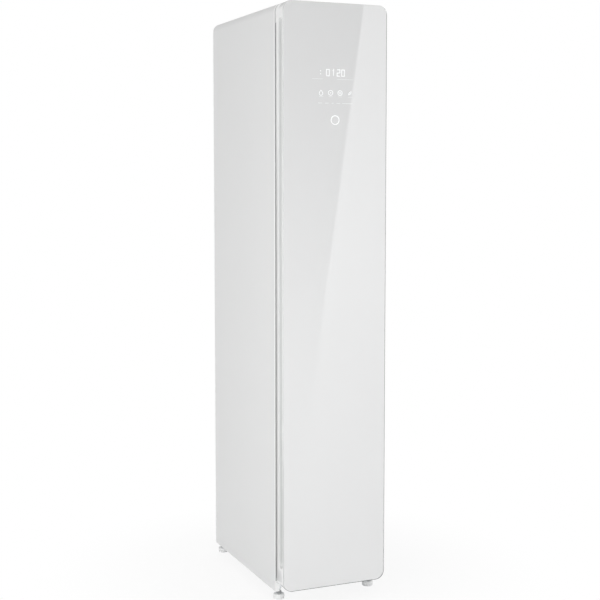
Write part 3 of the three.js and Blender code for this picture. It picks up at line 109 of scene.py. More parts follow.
# %% Helpers for node trees
FLOAT = "NodeSocketFloat"
VECTOR = "NodeSocketVector"
COLOUR = "NodeSocketColor"
GEOMETRY = "NodeSocketGeometry"
MATERIAL = "NodeSocketMaterial"
OBJECT = "NodeSocketObject"
INTEGER = "NodeSocketInt"


def fill(tree, node, inputs):
    """Gives each named input a value, or joins another node's output to it."""
    for key, value in inputs.items():
        if isinstance(value, bpy.types.NodeSocket):
            tree.links.new(value, node.inputs[key])
        else:
            node.inputs[key].default_value = value


def put(tree, kind, inputs=None, **settings):
    """Adds a node with its settings and inputs."""
    made = tree.nodes.new(kind)
    for key, value in settings.items():
        setattr(made, key, value)
    fill(tree, made, inputs or {})
    return made


def use(tree, group, inputs):
    """Places a shader node group in a tree and returns its outputs."""
    return put(tree, "ShaderNodeGroup", inputs, node_tree=group).outputs


def socket_for(value):
    """The type of the socket that holds a number, three numbers, or a colour of four."""
    if isinstance(value, tuple):
        return COLOUR if len(value) == 4 else VECTOR
    return INTEGER if isinstance(value, int) else FLOAT


def new_group(name, inputs, outputs, kind="ShaderNodeTree"):
    """Starts a node group. Each named socket is given by its default value or by its type."""
    tree = bpy.data.node_groups.new(name, kind)
    for in_out, sockets in (("INPUT", inputs), ("OUTPUT", outputs)):
        for label, given in sockets.items():
            bare = isinstance(given, str)
            made = tree.interface.new_socket(
                label, in_out=in_out, socket_type=given if bare else socket_for(given))
            if not bare:
                made.default_value = given
    return tree, tree.nodes.new("NodeGroupInput").outputs, tree.nodes.new("NodeGroupOutput")


# %% Nodes that are needed again and again
def maths(tree, operation, *values, clamp=False):
    """The result of one Math node."""
    inputs = dict(enumerate(values))
    return put(tree, "ShaderNodeMath", inputs, operation=operation, use_clamp=clamp).outputs[0]


def vectors(tree, operation, *values):
    """The vector result of one Vector Math node."""
    inputs = dict(enumerate(values))
    return put(tree, "ShaderNodeVectorMath", inputs, operation=operation).outputs[0]


def scaled(tree, vector, factor):
    """A vector or a colour times a factor."""
    inputs = {0: vector, "Scale": factor}
    return put(tree, "ShaderNodeVectorMath", inputs, operation="SCALE").outputs[0]


def length(tree, vector):
    """The length of a vector."""
    return put(tree, "ShaderNodeVectorMath", {0: vector}, operation="LENGTH").outputs["Value"]


def point(tree, kind="Object"):
    """The place of a point on its piece, or another texture coordinate."""
    return put(tree, "ShaderNodeTexCoord").outputs[kind]


def split(tree, vector):
    """The X, Y and Z of a vector."""
    return put(tree, "ShaderNodeSeparateXYZ", {0: vector}).outputs


def noise(tree, vector, scale, detail):
    """The outputs of a noise texture."""
    return put(tree, "ShaderNodeTexNoise", {
        "Vector": vector, "Scale": scale, "Detail": detail}).outputs


def spread(tree, value, low, high, to_low=0.0, to_high=1.0, kind="LINEAR"):
    """A value that runs from one range to another and stays inside it."""
    return put(tree, "ShaderNodeMapRange", {
        "Value": value, "From Min": low, "From Max": high, "To Min": to_low, "To Max": to_high},
        interpolation_type=kind).outputs[0]


def about(tree, value, change, mean, clamp=False):
    """A noise value made to wander about a mean."""
    centred = maths(tree, "SUBTRACT", value, 0.5)
    return maths(tree, "MULTIPLY_ADD", centred, change, mean, clamp=clamp)


def blended(tree, mask, below, above):
    """One colour where the mask is 0 and another where it is 1."""
    return put(tree, "ShaderNodeMix", {0: mask, 6: below, 7: above}, data_type="RGBA").outputs[2]


def relief(tree, height, strength, depth):
    """The normal of a bumpy surface."""
    return put(tree, "ShaderNodeBump", {
        "Height": height, "Strength": strength, "Distance": depth}).outputs[0]


# %% [markdown]
# ## The studio
# The sky is two skies at once: what the camera and the mirror-like surfaces see is plain white,
# and what lights the cabinet is a softer white that grows dimmer overhead. So pale paint keeps
# its own tone, and the rounded top edges of the cabinet stand out a little darker.

# %% The white studio around the cabinet
def seen_rays(tree):
    """1 for a ray from the camera, or one that glossy or clear surfaces send on."""
    rays = put(tree, "ShaderNodeLightPath").outputs
    seen = maths(tree, "MAXIMUM", rays["Is Camera Ray"], rays["Is Glossy Ray"])
    return maths(tree, "MAXIMUM", seen, rays["Is Transmission Ray"])


horizon_light, overhead_light = 0.66, 0.46
backdrop_white = 1.0
white = (1.0, 1.0, 1.0, 1.0)

world = bpy.data.worlds.new("studio_sky")
world.use_nodes = True
sky = world.node_tree
sky.nodes.clear()
upwards = split(sky, point(sky, "Generated"))["Z"]
sky_light = spread(sky, upwards, 0.0, 1.0, horizon_light, overhead_light)
lit = put(sky, "ShaderNodeBackground", {"Color": white, "Strength": sky_light})
shown = put(sky, "ShaderNodeBackground", {"Color": white, "Strength": backdrop_white})
both = put(sky, "ShaderNodeMixShader", {0: seen_rays(sky), 1: lit.outputs[0], 2: shown.outputs[0]})
put(sky, "ShaderNodeOutputWorld", {"Surface": both.outputs[0]})
scene.world = world

# %% [markdown]
# Four soft lamps give the flat faces a little shape. One stands low in front, so the door is
# lightest below its middle. One stands close at the left, so the painted side grows lighter
# towards the front. A weak one hangs above and another stands behind for the other views.

# %% Soft lamps
def soft_lamp(name, place, target, side, strength):
    """A square lamp of the given side that faces its target."""
    data = bpy.data.lights.new(name, "AREA")
    data.shape = "SQUARE"
    data.size = side
    data.energy = strength
    lamp = bpy.data.objects.new(name, data)
    lamp.location = place
    towards = Vector(target) - Vector(place)
    lamp.rotation_euler = towards.to_track_quat("-Z", "Y").to_euler()
    lamp.visible_glossy = False
    lamp.visible_camera = False
    scene.collection.objects.link(lamp)


# The last two values are the side in metres and the power in watts.
soft_lamp("front_lamp", (0.3, -2.7, 0.6), (0, -0.3, 0.6), 1.6, 13)
soft_lamp("left_lamp", (-2.3, -1.5, 1.0), (-0.17, -0.1, 1.0), 1.2, 22)
soft_lamp("top_lamp", (0.2, -0.8, 4.6), (0, 0, 1.0), 3.0, 8)
soft_lamp("back_lamp", (2.4, 3.6, 2.4), (0, 0.2, 0.95), 2.4, 36)

# %% [markdown]
# The floor is pale and plain. Near the cabinet it shows the soft shadow that says the feet
# stand on something. Further out it fades to the white of the sky, so there is no horizon.

# %% The floor
floor_half = 9.0
floor_colour = (0.94, 0.94, 0.94, 1)
shadow_reach = (0.2, 0.9)
shadow_share = 0.14


def sheet_object(name, corners):
    """A flat sheet with four corners."""
    mesh = bpy.data.meshes.new(name)
    mesh.from_pydata(corners, [], [(0, 1, 2, 3)])
    sheet = bpy.data.objects.new(name, mesh)
    scene.collection.objects.link(sheet)
    return sheet


def empty_look(name):
    """A material with nothing in its tree yet, and that tree."""
    look = bpy.data.materials.new(name)
    look.use_nodes = True
    look.node_tree.nodes.clear()
    return look, look.node_tree


floor = sheet_object("studio_floor", [
    (x * floor_half, y * floor_half, 0) for x, y in ((-1, -1), (1, -1), (1, 1), (-1, 1))])
floor_look, tree = empty_look("studio_floor")
distance = length(tree, point(tree))
fade = spread(tree, distance, *shadow_reach, 1 - shadow_share, 1.0, "SMOOTHSTEP")
paint = put(tree, "ShaderNodeBsdfDiffuse", {"Color": floor_colour})
glow = put(tree, "ShaderNodeEmission", {"Color": white, "Strength": backdrop_white})
share = maths(tree, "MULTIPLY", seen_rays(tree), fade)
surface = put(tree, "ShaderNodeMixShader", {0: share, 1: paint.outputs[0], 2: glow.outputs[0]})
put(tree, "ShaderNodeOutputMaterial", {"Surface": surface.outputs[0]})
floor.data.materials.append(floor_look)
floor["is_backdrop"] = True

# %% [markdown]
# ## The soft panel in the glass
# A white glass door is hard to photograph: it mirrors the room. A large soft panel stands at
# the front right, cut on a slant, and the glass shows its edge as the long diagonal line. The
# line was chosen on the glass, and each of its ends is sent out along the mirrored ray, which
# gives the place of the panel's edge. A card on the floor carries its light on below. Both are
# seen only by glossy surfaces.

# %% Find the panel's edge from the line that it draws on the glass
glass_front = -0.315
line_on_glass = ((0.0902, 1.8313), (-0.0814, 0.6418))
panel_distance = 0.5
mirrored_camera = Vector((camera_place[0], 2 * glass_front - camera_place[1], camera_place[2]))


def behind_mirror(x, z):
    """Where a ray from the camera, mirrored by the glass at (x, z), meets the panel."""
    on_glass = Vector((x, glass_front, z))
    ray = on_glass - mirrored_camera
    return on_glass + ray * (-panel_distance / ray.y)


edge_high, edge_low = (behind_mirror(x, z) for x, z in line_on_glass)
print("panel edge from", [round(v, 3) for v in edge_high], "to", [round(v, 3) for v in edge_low])

# %% Sheets and tones for the studio
def glossy_sheet(name, corners):
    """A flat sheet of the studio that only glossy surfaces see."""
    sheet = sheet_object(name, corners)
    for rays in ("visible_camera", "visible_diffuse", "visible_transmission", "visible_shadow"):
        setattr(sheet, rays, False)
    sheet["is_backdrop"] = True
    return sheet


def shine(sheet, look, strength):
    """Lets a sheet give off white light."""
    glow = put(look.node_tree, "ShaderNodeEmission", {"Color": white, "Strength": strength})
    put(look.node_tree, "ShaderNodeOutputMaterial", {"Surface": glow.outputs[0]})
    sheet.data.materials.append(look)


def tone_by_height(tree, height, stops):
    """A brightness that runs smoothly through (height, brightness) pairs."""
    curve = put(tree, "ShaderNodeFloatCurve", {"Factor": 1.0})
    low, high = stops[0][0], stops[-1][0]
    most = max(tone for _, tone in stops)
    knots = curve.mapping.curves[0].points
    while len(knots) < len(stops):
        knots.new(0.5, 0.5)
    for knot, (at, tone) in zip(knots, stops):
        knot.location = ((at - low) / (high - low), tone / most)
    curve.mapping.update()
    fill(tree, curve, {"Value": spread(tree, height, low, high)})
    return maths(tree, "MULTIPLY", curve.outputs[0], most)


# %% The soft panel and the floor card
panel_left, panel_right = -1.2, 2.2
panel_low, panel_high = 0.0, 2.6
panel_y = glass_front - panel_distance
edge_blur = 0.004
floor_tone = 1.9
left_tone = ((0.0, floor_tone), (0.6, 1.9), (1.15, 1.35), (1.75, 0.85), (2.6, 0.8))
right_tone = ((0.0, floor_tone), (0.6, 2.4), (1.15, 3.1), (1.75, 3.2), (2.6, 3.2))

panel = glossy_sheet("soft_panel", [
    (panel_left, panel_y, panel_low), (panel_right, panel_y, panel_low),
    (panel_right, panel_y, panel_high), (panel_left, panel_y, panel_high)])
panel_look, tree = empty_look("soft_panel")
across, _, height = split(tree, point(tree))
slope = (edge_high.x - edge_low.x) / (edge_high.z - edge_low.z)
edge_x = maths(tree, "MULTIPLY_ADD", maths(tree, "SUBTRACT", height, edge_low.z), slope, edge_low.x)
past_edge = maths(tree, "DIVIDE", maths(tree, "SUBTRACT", across, edge_x), edge_blur, clamp=True)
tone = put(tree, "ShaderNodeMix", {
    0: past_edge, 2: tone_by_height(tree, height, left_tone),
    3: tone_by_height(tree, height, right_tone)}, data_type="FLOAT").outputs[0]
shine(panel, panel_look, tone)

card_height, card_gap = 0.002, 0.01
card_back = glass_front - card_gap
card = glossy_sheet("floor_card", [
    (panel_left, panel_y, card_height), (panel_right, panel_y, card_height),
    (panel_right, card_back, card_height), (panel_left, card_back, card_height)])
shine(card, empty_look("floor_card")[0], floor_tone)
print("soft panel", panel_distance, "m in front of the glass")

# %% [markdown]
# Upright rounded edges look out to the front left, where no flat face looks. A bright card
# stands there for glossy surfaces alone, and shows as the thin bright line on each edge.

# %% The edge card
edge_card_tone = 6.0
card_near, card_far = (-0.8, -2.6), (-2.4, -0.2)
card_top = 2.3
edge_card = glossy_sheet("edge_card", [
    (*card_near, 0), (*card_far, 0), (*card_far, card_top), (*card_near, card_top)])
shine(edge_card, empty_look("edge_card")[0], edge_card_tone)

# %% [markdown]
# ## Effects that the finishes share
# Real surfaces are never even. Four small effects cover most of what this cabinet shows: a
# fine grain, slow changes of tone, hair-thin scratches, and the lines of drawn or brushed
# metal. Each is a group that gives values for the shader to use.

# %% Fine grain and slow tone
def surface_grain_group():
    """Grain for the bump, and a roughness that wanders about its mean."""
    tree, entry, leave = new_group("surface_grain", {
        "Vector": VECTOR, "Grain Scale": 900.0, "Rough": 0.4, "Rough Change": 0.05,
        "Patch Scale": 6.0}, {"Height": FLOAT, "Roughness": FLOAT})
    grain = noise(tree, entry["Vector"], entry["Grain Scale"], detail=2.0)[0]
    patch = noise(tree, entry["Vector"], entry["Patch Scale"], detail=3.0)[0]
    rough = about(tree, patch, entry["Rough Change"], entry["Rough"], clamp=True)
    fill(tree, leave, {"Height": grain, "Roughness": rough})
    return tree


def tone_drift_group():
    """A colour that grows a little lighter and darker over a slow pattern."""
    tree, entry, leave = new_group("tone_drift", {
        "Vector": VECTOR, "Colour": (0.8, 0.8, 0.8, 1), "Scale": 3.0, "Drift": 0.03},
        {"Colour": COLOUR})
    slow = noise(tree, entry["Vector"], entry["Scale"], detail=4.0)[0]
    gain = about(tree, slow, entry["Drift"], mean=1.0)
    fill(tree, leave, {"Colour": scaled(tree, entry["Colour"], gain)})
    return tree


grain_effect = surface_grain_group()
drift_effect = tone_drift_group()

# %% Scratches and drawn metal
def hair_scratches_group():
    """A mask of sparse, hair-thin marks, from noise stretched along one direction."""
    bend, soft_edge = (0.05, 0.05, 0.05), 0.05
    tree, entry, leave = new_group("hair_scratches", {
        "Vector": VECTOR, "Scale": 60.0, "Stretch": (1, 1, 0.03), "Few": 0.72}, {"Mask": FLOAT})
    wander = noise(tree, entry["Vector"], scale=2.0, detail=1.0)["Color"]
    shifted = vectors(tree, "MULTIPLY_ADD", wander, bend, entry["Vector"])
    pulled = vectors(tree, "MULTIPLY", shifted, entry["Stretch"])
    lines = noise(tree, pulled, entry["Scale"], detail=2.0)[0]
    full = maths(tree, "ADD", entry["Few"], soft_edge)
    fill(tree, leave, {"Mask": spread(tree, lines, entry["Few"], full)})
    return tree


def drawn_metal_group():
    """Long fine lines, as drawing or brushing leaves on metal."""
    tree, entry, leave = new_group("drawn_metal", {
        "Vector": VECTOR, "Scale": 400.0, "Along": (0.02, 1, 1), "Rough": 0.3,
        "Rough Change": 0.25}, {"Height": FLOAT, "Roughness": FLOAT})
    pulled = vectors(tree, "MULTIPLY", entry["Vector"], entry["Along"])
    lines = noise(tree, pulled, entry["Scale"], detail=3.0)[0]
    rough = about(tree, lines, entry["Rough Change"], entry["Rough"], clamp=True)
    fill(tree, leave, {"Height": lines, "Roughness": rough})
    return tree


scratch_effect = hair_scratches_group()
drawn_effect = drawn_metal_group()
print("effects", [g.name for g in bpy.data.node_groups])

# %% [markdown]
# ## Painted and moulded finishes
# Paint and moulded plastic differ mostly in how even their shine is and in the grain of the
# tool or the spray gun. One function makes them all: a toned colour, a roughness that wanders,
# a fine bump, and faint scratches that make the surface a little duller where they run.

# %% One function for paint and plastic
grain_depth = 0.2 * MM


def new_look(name, colour, tones=None):
    """A new material whose colour drifts: its tree, its main shader, and the place of a point."""
    look = bpy.data.materials.new(name)
    look.use_nodes = True
    tree = look.node_tree
    shader = tree.nodes["Principled BSDF"]
    place = point(tree)
    toned = use(tree, drift_effect, {"Vector": place, "Colour": (*colour, 1), **(tones or {})})
    fill(tree, shader, {"Base Color": toned["Colour"]})
    return look, tree, shader, place


def moulded(name, colour, rough, rough_change, grain, bump, scratches=0.06):
    """A painted or moulded finish, with grain, slow tone and faint scratches."""
    look, tree, shader, place = new_look(name, colour)
    grained = use(tree, grain_effect, {
        "Vector": place, "Grain Scale": grain, "Rough": rough, "Rough Change": rough_change})
    marks = use(tree, scratch_effect, {"Vector": place})
    dulled = maths(tree, "MULTIPLY_ADD", marks["Mask"], scratches, grained["Roughness"], clamp=True)
    fill(tree, shader, {
        "Roughness": dulled, "Normal": relief(tree, grained["Height"], bump, grain_depth)})
    look.diffuse_color = (*colour, 1)
    return look


# The values are a colour, a roughness and its change, the scale of the grain, and its bump.
# A sixth, where there is one, is how much the scratches dull the surface.
white_moulding = ((0.86, 0.864, 0.862), 0.26, 0.05, 1100.0, 0.05)
case_colour = (0.786, 0.790, 0.788)
looks = {slot_name: moulded(name, *values) for slot_name, name, *values in (
    ("painted_steel", "case_paint", case_colour, 0.34, 0.08, 700.0, 0.12),
    ("white_plastic", "white_moulding", *white_moulding),
    ("cabin_plastic", "cabin_plastic", (0.69, 0.72, 0.73), 0.33, 0.08, 1000.0, 0.08),
    ("grey_plastic", "duct_plastic", (0.27, 0.30, 0.32), 0.52, 0.08, 1200.0, 0.2),
    ("dark_plastic", "dark_moulding", (0.03, 0.03, 0.03), 0.48, 0.1, 1200.0, 0.2),
    ("blue_plastic", "cap_plastic", (0.08, 0.24, 0.39), 0.34, 0.06, 1000.0, 0.1),
    ("rubber", "seal_rubber", (0.16, 0.165, 0.17), 0.62, 0.1, 1500.0, 0.15, 0),
    ("black_rubber", "black_rubber", (0.012, 0.012, 0.014), 0.66, 0.1, 1500.0, 0.2),
    ("black_paint", "motor_enamel", (0.009, 0.009, 0.01), 0.28, 0.1, 500.0, 0.25),
    ("board_green", "board_lacquer", (0.014, 0.10, 0.042), 0.24, 0.05, 1500.0, 0.1),
)}
print(len(looks), "painted and moulded finishes")

# %% [markdown]
# The folded case takes the same paint, but its front flange, which the seal of the door rests
# on, is painted dark grey as the shade in the gap, and it shows as the dark line between the
# case and the door. The flange is found by its place: it lies in front, and above the lower edge
# of the door. Faces that look upwards are darkened a little as painted shade, and a narrow band
# at the rounded front edge is lighter, as a painted highlight on the fold.

# %% The paint of the case, with painted shade and a painted highlight
def overlay(look, mask, tone):
    """Mixes a tone into the colour of a finish where the mask is 1."""
    tree = look.node_tree
    shader = tree.nodes["Principled BSDF"]
    plain = shader.inputs["Base Color"].links[0].from_socket
    fill(tree, shader, {"Base Color": blended(tree, mask, plain, (*tone, 1))})


def painted_gap_shade_group():
    """1 on the front flange of the case where the door covers it, else 0."""
    tree, entry, leave = new_group("painted_gap_shade", {
        "Vector": VECTOR, "Front": 0.0, "Low": 0.0}, {"Mask": FLOAT})
    _, along, height = split(tree, entry["Vector"])
    in_front = maths(tree, "LESS_THAN", along, entry["Front"])
    above = maths(tree, "GREATER_THAN", height, entry["Low"])
    fill(tree, leave, {"Mask": maths(tree, "MULTIPLY", in_front, above)})
    return tree


case_low, case_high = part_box("outer_case")
flange_depth, flange_low = 1.2 * MM, 62 * MM
fold_reach, fold_fade = 9.0 * MM, 3.0 * MM
# Painted light in the case paint: painted shade on faces that look up, a painted highlight at the
# rounded front edge, and painted shade on the front flange.
top_shade_share = 0.26
top_shade_tone, fold_highlight_tone, gap_shade_tone = (0.1, 0.1, 0.1), (0.97, 0.97, 0.965), (0.44, 0.445, 0.45)

case_look = moulded("case_paint_flanged", case_colour, 0.3, 0.06, 700.0, 0.1)
tree = case_look.node_tree
upwards = split(tree, point(tree, "Normal"))["Z"]
# Painted shade: the colour grows darker the more a face looks upwards.
top_shade = maths(tree, "MULTIPLY", upwards, top_shade_share, clamp=True)
behind_edge = maths(tree, "SUBTRACT", case_low.y + fold_reach, split(tree, point(tree))["Y"])
# A painted highlight: the band just behind the rounded front edge is made lighter.
folded = maths(tree, "DIVIDE", behind_edge, fold_fade, clamp=True)
# Painted shade on the front flange, in the gap between the case and the door.
flange = use(tree, painted_gap_shade_group(), {
    "Vector": point(tree), "Front": case_low.y + flange_depth, "Low": flange_low})["Mask"]
for mask, tone in ((top_shade, top_shade_tone), (folded, fold_highlight_tone), (flange, gap_shade_tone)):
    overlay(case_look, mask, tone)
print("flange from z", round(flange_low, 4))

# %% [markdown]
# ## The glass door
# The real door is clear glass with white paint on its back face. Seen from outside, that is a
# white ground under a perfectly smooth, mirror-like skin. Its ground edges aren't painted. The
# edge that looks to the light takes a painted highlight, and the ones that look away from it
# painted shade, as dark hairlines. Which is which comes from the face's own direction, which
# turns with the door. A line of painted shade also runs along the right and the bottom.

# %% A hairline along two sides of a rounded rectangle
def two_side_hairline_group():
    """1 on a line at the right and bottom of a rounded rectangle in X and Z, else 0."""
    tree, entry, leave = new_group("two_side_hairline", {
        "Vector": VECTOR, "Middle": VECTOR, "Half Without Corner": VECTOR, "Corner": 0.02,
        "Line": VECTOR}, {"Mask": FLOAT})
    moved = vectors(tree, "ADD", entry["Vector"], entry["Line"])
    centred = vectors(tree, "SUBTRACT", moved, entry["Middle"])
    folded = vectors(tree, "ABSOLUTE", centred)
    past = vectors(tree, "SUBTRACT", folded, entry["Half Without Corner"])
    over = vectors(tree, "MAXIMUM", past, (0, 0, 0))
    fill(tree, leave, {"Mask": maths(tree, "GREATER_THAN", length(tree, over), entry["Corner"])})
    return tree


# %% Back-painted glass
glass_low, glass_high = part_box("door_glass")
glass_half = (glass_high - glass_low) / 2
glass_corner = 28 * MM
any_depth = 1.0
# The width of a line of painted shade along the right and the bottom of the front face.
shade_line_width = 1.9 * MM
sideways = 0.4
skin_rough, scratch_rough = 0.012, 0.03
# The edge colours are painted light: a painted highlight on the edge that faces the light, and painted
# shade on the edges and the hairline that face away from it.
ground_colour, edge_highlight_colour = (0.772, 0.775, 0.776), (0.58, 0.59, 0.585)
edge_shade_colour = (0.035, 0.05, 0.045)

glass_look, tree, shader, place = new_look("door_glass", ground_colour, {
    "Scale": 1.6, "Drift": 0.02})
across, _, upwards = split(tree, point(tree, "Normal"))
to_left = maths(tree, "LESS_THAN", across, -sideways)
to_right = maths(tree, "GREATER_THAN", across, sideways)
downwards = maths(tree, "LESS_THAN", upwards, -sideways)
hairline = use(tree, two_side_hairline_group(), {
    "Vector": place, "Middle": (glass_low + glass_high) / 2,
    "Half Without Corner": (
        glass_half.x - glass_corner, any_depth, glass_half.z - glass_corner),
    "Corner": glass_corner, "Line": (shade_line_width, 0, -shade_line_width)})["Mask"]
# Painted shade: edges that look right or down, and the hairline along the right and the bottom.
shaded = maths(tree, "MAXIMUM", maths(tree, "MAXIMUM", to_right, downwards), hairline)
marks = use(tree, scratch_effect, {"Vector": place, "Scale": 90.0, "Few": 0.76})
rough = maths(tree, "MULTIPLY_ADD", marks["Mask"], scratch_rough, skin_rough)
fill(tree, shader, {"Roughness": rough, "IOR": 1.52})
# Painted highlight on the left edge, then painted shade on the right and lower edges and the hairline.
overlay(glass_look, to_left, edge_highlight_colour)
overlay(glass_look, shaded, edge_shade_colour)
glass_look.diffuse_color = (*ground_colour, 1)
looks["white_glass"] = glass_look
print("glass with paint", round(shade_line_width, 4), "m short of two sides")

# %% [markdown]
# The frame of the door is one white moulding, and its grip channel is the place that hands
# touch. The finish is the same plastic, darkened a little with the depth inside the channel as
# painted shade, which is read from the position on the piece.

# %% The frame's plastic, with painted shade in its channel
def channel_depth_group():
    """0 on the frame's outer face, and 1 on the floor of the grip channel."""
    tree, entry, leave = new_group("channel_depth", {
        "Vector": VECTOR, "Face": 0.0, "Depth": 0.01, "Front": 0.0, "Back": 0.0},
        {"Mask": FLOAT})
    across, along, _ = split(tree, entry["Vector"])
    inwards = maths(tree, "SUBTRACT", across, entry["Face"])
    deep = maths(tree, "DIVIDE", inwards, entry["Depth"], clamp=True)
    behind_front = maths(tree, "GREATER_THAN", along, entry["Front"])
    before_back = maths(tree, "LESS_THAN", along, entry["Back"])
    inside = maths(tree, "MULTIPLY", behind_front, before_back)
    fill(tree, leave, {"Mask": maths(tree, "MULTIPLY", deep, inside)})
    return tree


frame_low, frame_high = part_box("door_frame")
channel_front, channel_back = glass_front + 7 * MM, glass_front + 37 * MM
# The channel tone is painted shade, darker with the depth inside the grip channel.
toned_depth, channel_shade_tone = 6 * MM, (0.56, 0.57, 0.565)
frame_look = moulded("frame_plastic", (0.88, 0.884, 0.882), 0.24, 0.05, 1100.0, 0.05)
tree = frame_look.node_tree
depth = use(tree, channel_depth_group(), {
    "Vector": point(tree), "Face": frame_low.x, "Depth": toned_depth,
    "Front": channel_front, "Back": channel_back})["Mask"]
overlay(frame_look, depth, channel_shade_tone)
print("channel from y", round(channel_front, 4), "to", round(channel_back, 4))

# %% [markdown]
# ## Clear plastic, foam and metals
# The tanks and the lamp cover let light through. The insulation is a block of fused foam
# beads, which a cell pattern draws well. The metals take their lines from the drawing and
# brushing of sheet, rod and tube.

# %% Clear plastic and foam
def clear_plastic(name, tint):
    """Clear moulded plastic with a faint tint and a slightly uneven skin."""
    look, tree, shader, place = new_look(name, tint, {"Drift": 0.04})
    grained = use(tree, grain_effect, {
        "Vector": place, "Grain Scale": 120.0, "Rough": 0.09, "Rough Change": 0.08})
    fill(tree, shader, {
        "Roughness": grained["Roughness"], "Transmission Weight": 0.85, "IOR": 1.49,
        "Normal": relief(tree, grained["Height"], strength=0.08, depth=0.4 * MM)})
    return look


def bead_foam(name, colour):
    """Fused foam beads: pale cells with darker seams and a soft, pitted surface."""
    look, tree, shader, place = new_look(name, colour, {"Drift": 0.08})
    cells = put(tree, "ShaderNodeTexVoronoi", {"Vector": place, "Scale": 240.0})
    seam = spread(tree, cells.outputs["Distance"], low=0.3, high=0.8, to_low=1.0, to_high=0.8)
    plain = shader.inputs["Base Color"].links[0].from_socket
    fill(tree, shader, {
        "Base Color": scaled(tree, plain, seam), "Roughness": 0.85,
        "Normal": relief(tree, seam, strength=0.4, depth=0.6 * MM)})
    return look


looks["clear_plastic"] = clear_plastic("tank_plastic", (0.90, 0.945, 0.96))
looks["foam"] = bead_foam("bead_foam", (0.88, 0.87, 0.82))

# %% Metals
def drawn_metal(name, colour, rough, along):
    """Bare metal with long fine lines."""
    look, tree, shader, place = new_look(name, colour, {"Drift": 0.12})
    lined = use(tree, drawn_effect, {"Vector": place, "Along": along, "Rough": rough})
    fill(tree, shader, {
        "Roughness": lined["Roughness"], "Metallic": 1.0,
        "Normal": relief(tree, lined["Height"], strength=0.12, depth=grain_depth)})
    return look


looks["steel"] = drawn_metal("zinc_steel", (0.60, 0.62, 0.63), 0.36, (1, 0.05, 1))
looks["aluminium"] = drawn_metal("bare_aluminium", (0.66, 0.68, 0.69), 0.33, (0.04, 1, 1))
looks["copper"] = drawn_metal("copper_pipe", (0.62, 0.24, 0.11), 0.28, (1, 1, 0.05))

# %% Give every solid its finish
body_of = {node: body for body, nodes in frame["record"]["behaviour"]["bodies"].items()
           for node in nodes}
slot_of = {name: solid.data.materials[0].name.split(".")[0]
           for name, solid in frame["nodes"].items()}
for name, solid in frame["nodes"].items():
    solid.data.materials.clear()
    solid.data.materials.append(looks[slot_of[name]])
print(len(frame["nodes"]), "solids finished with", len(looks), "finishes")

# %% [markdown]
# ## Rounded edges
# No real edge is perfectly sharp: paint, moulds and bending all leave a small radius, and that
# radius catches the light as a thin line. Each solid is copied, its corners are merged, and a
# Bevel modifier rounds the edges. On sheet metal and round a channel only chosen edges may be
# rounded, so these are picked by their place and given a bevel weight.

# %% Copy a solid, and let the copy stand for it
weld = 0.01 * MM
same_plane = math.radians(0.5)
crease_angle = math.radians(35)
sharp_angle = math.radians(50)


def merged_copy(node):
    """A solid to edit, with its corners merged and its flat faces joined up."""
    work = bmesh.new()
    work.from_mesh(frame["nodes"][node].data)
    bmesh.ops.remove_doubles(work, verts=work.verts, dist=weld)
    bmesh.ops.dissolve_limit(work, angle_limit=same_plane, verts=work.verts, edges=work.edges)
    return work


def to_mesh(work, name, sharp_from=None):
    """Ends the editing. With an angle, all is shaded smooth but for edges beyond that angle."""
    mesh = bpy.data.meshes.new(name)
    if sharp_from:
        for face in work.faces:
            face.smooth = True
    work.to_mesh(mesh)
    work.free()
    if sharp_from:
        mesh.set_sharp_from_angle(angle=sharp_from)
    return mesh


def add_piece(name, mesh, body, look):
    """Links a finished mesh, and says what carries it and which finish it takes."""
    mesh.materials.clear()
    mesh.materials.append(look)
    piece = bpy.data.objects.new(name, mesh)
    scene.collection.objects.link(piece)
    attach(piece, body)
    return piece


def stand_in(node, ending, work, sharp_from, look=None):
    """Adds an edited copy of a solid, carried by its body, with the given finish or that of its slot.
    """
    name = node + ending
    mesh = to_mesh(work, name, sharp_from)
    return add_piece(name, mesh, body_of[node], look or looks[slot_of[node]])


def rounded(node, width, picked=None, segments=2, look=None):
    """A copy of a solid with rounded edges, which stands for that solid."""
    work = merged_copy(node)
    if picked:
        weight = work.edges.layers.float.new("bevel_weight_edge")
        for edge in work.edges:
            edge[weight] = float(picked(edge))
    piece = stand_in(node, "_rounded", work, crease_angle, look)
    bevel = piece.modifiers.new("rounded_edges", "BEVEL")
    bevel.width = width
    bevel.segments = segments
    bevel.limit_method = "WEIGHT" if picked else "ANGLE"
    bevel.angle_limit = sharp_angle
    bevel.use_clamp_overlap = not picked
    bevel.harden_normals = True
    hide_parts(node)
    return piece


# %% The folded case and the door frame
case_middle = (case_low + case_high) / 2
touching, least_outward = 0.05 * MM, 0.5
channel_start, channel_end = frame_low.y + 1.5 * MM, frame_high.y - 20 * MM


def looks_outwards(face):
    """True for a face that looks sideways, up or down, away from the middle of the case."""
    way = face.normal.copy()
    way.y = 0
    return way.length > least_outward and way.dot(face.calc_center_median() - case_middle) > 0


def case_front_edge(edge):
    """The outline of the case's front, where the sheet is folded round."""
    in_front = all(vert.co.y < case_low.y + touching for vert in edge.verts)
    return in_front and any(looks_outwards(face) for face in edge.link_faces)


def frame_edge(edge):
    """The back outline of the frame, and the lips of its grip channel."""
    ends = [vert.co for vert in edge.verts]
    outside = any(looks_outwards(face) for face in edge.link_faces)
    at_back = all(end.y > frame_high.y - touching for end in ends)
    on_left = all(end.x < frame_low.x + touching for end in ends)
    in_channel = all(channel_start < end.y < channel_end for end in ends)
    meets_channel = len(edge.link_faces) == 2 and edge.calc_face_angle() > sharp_angle
    return (at_back and outside) or (on_left and in_channel and meets_channel)


case_piece = rounded("outer_case", 2.2 * MM, case_front_edge, segments=4, look=case_look)
frame_piece = rounded("door_frame", 0.6 * MM, frame_edge, segments=3, look=frame_look)
print("rounded", case_piece.name, frame_piece.name)

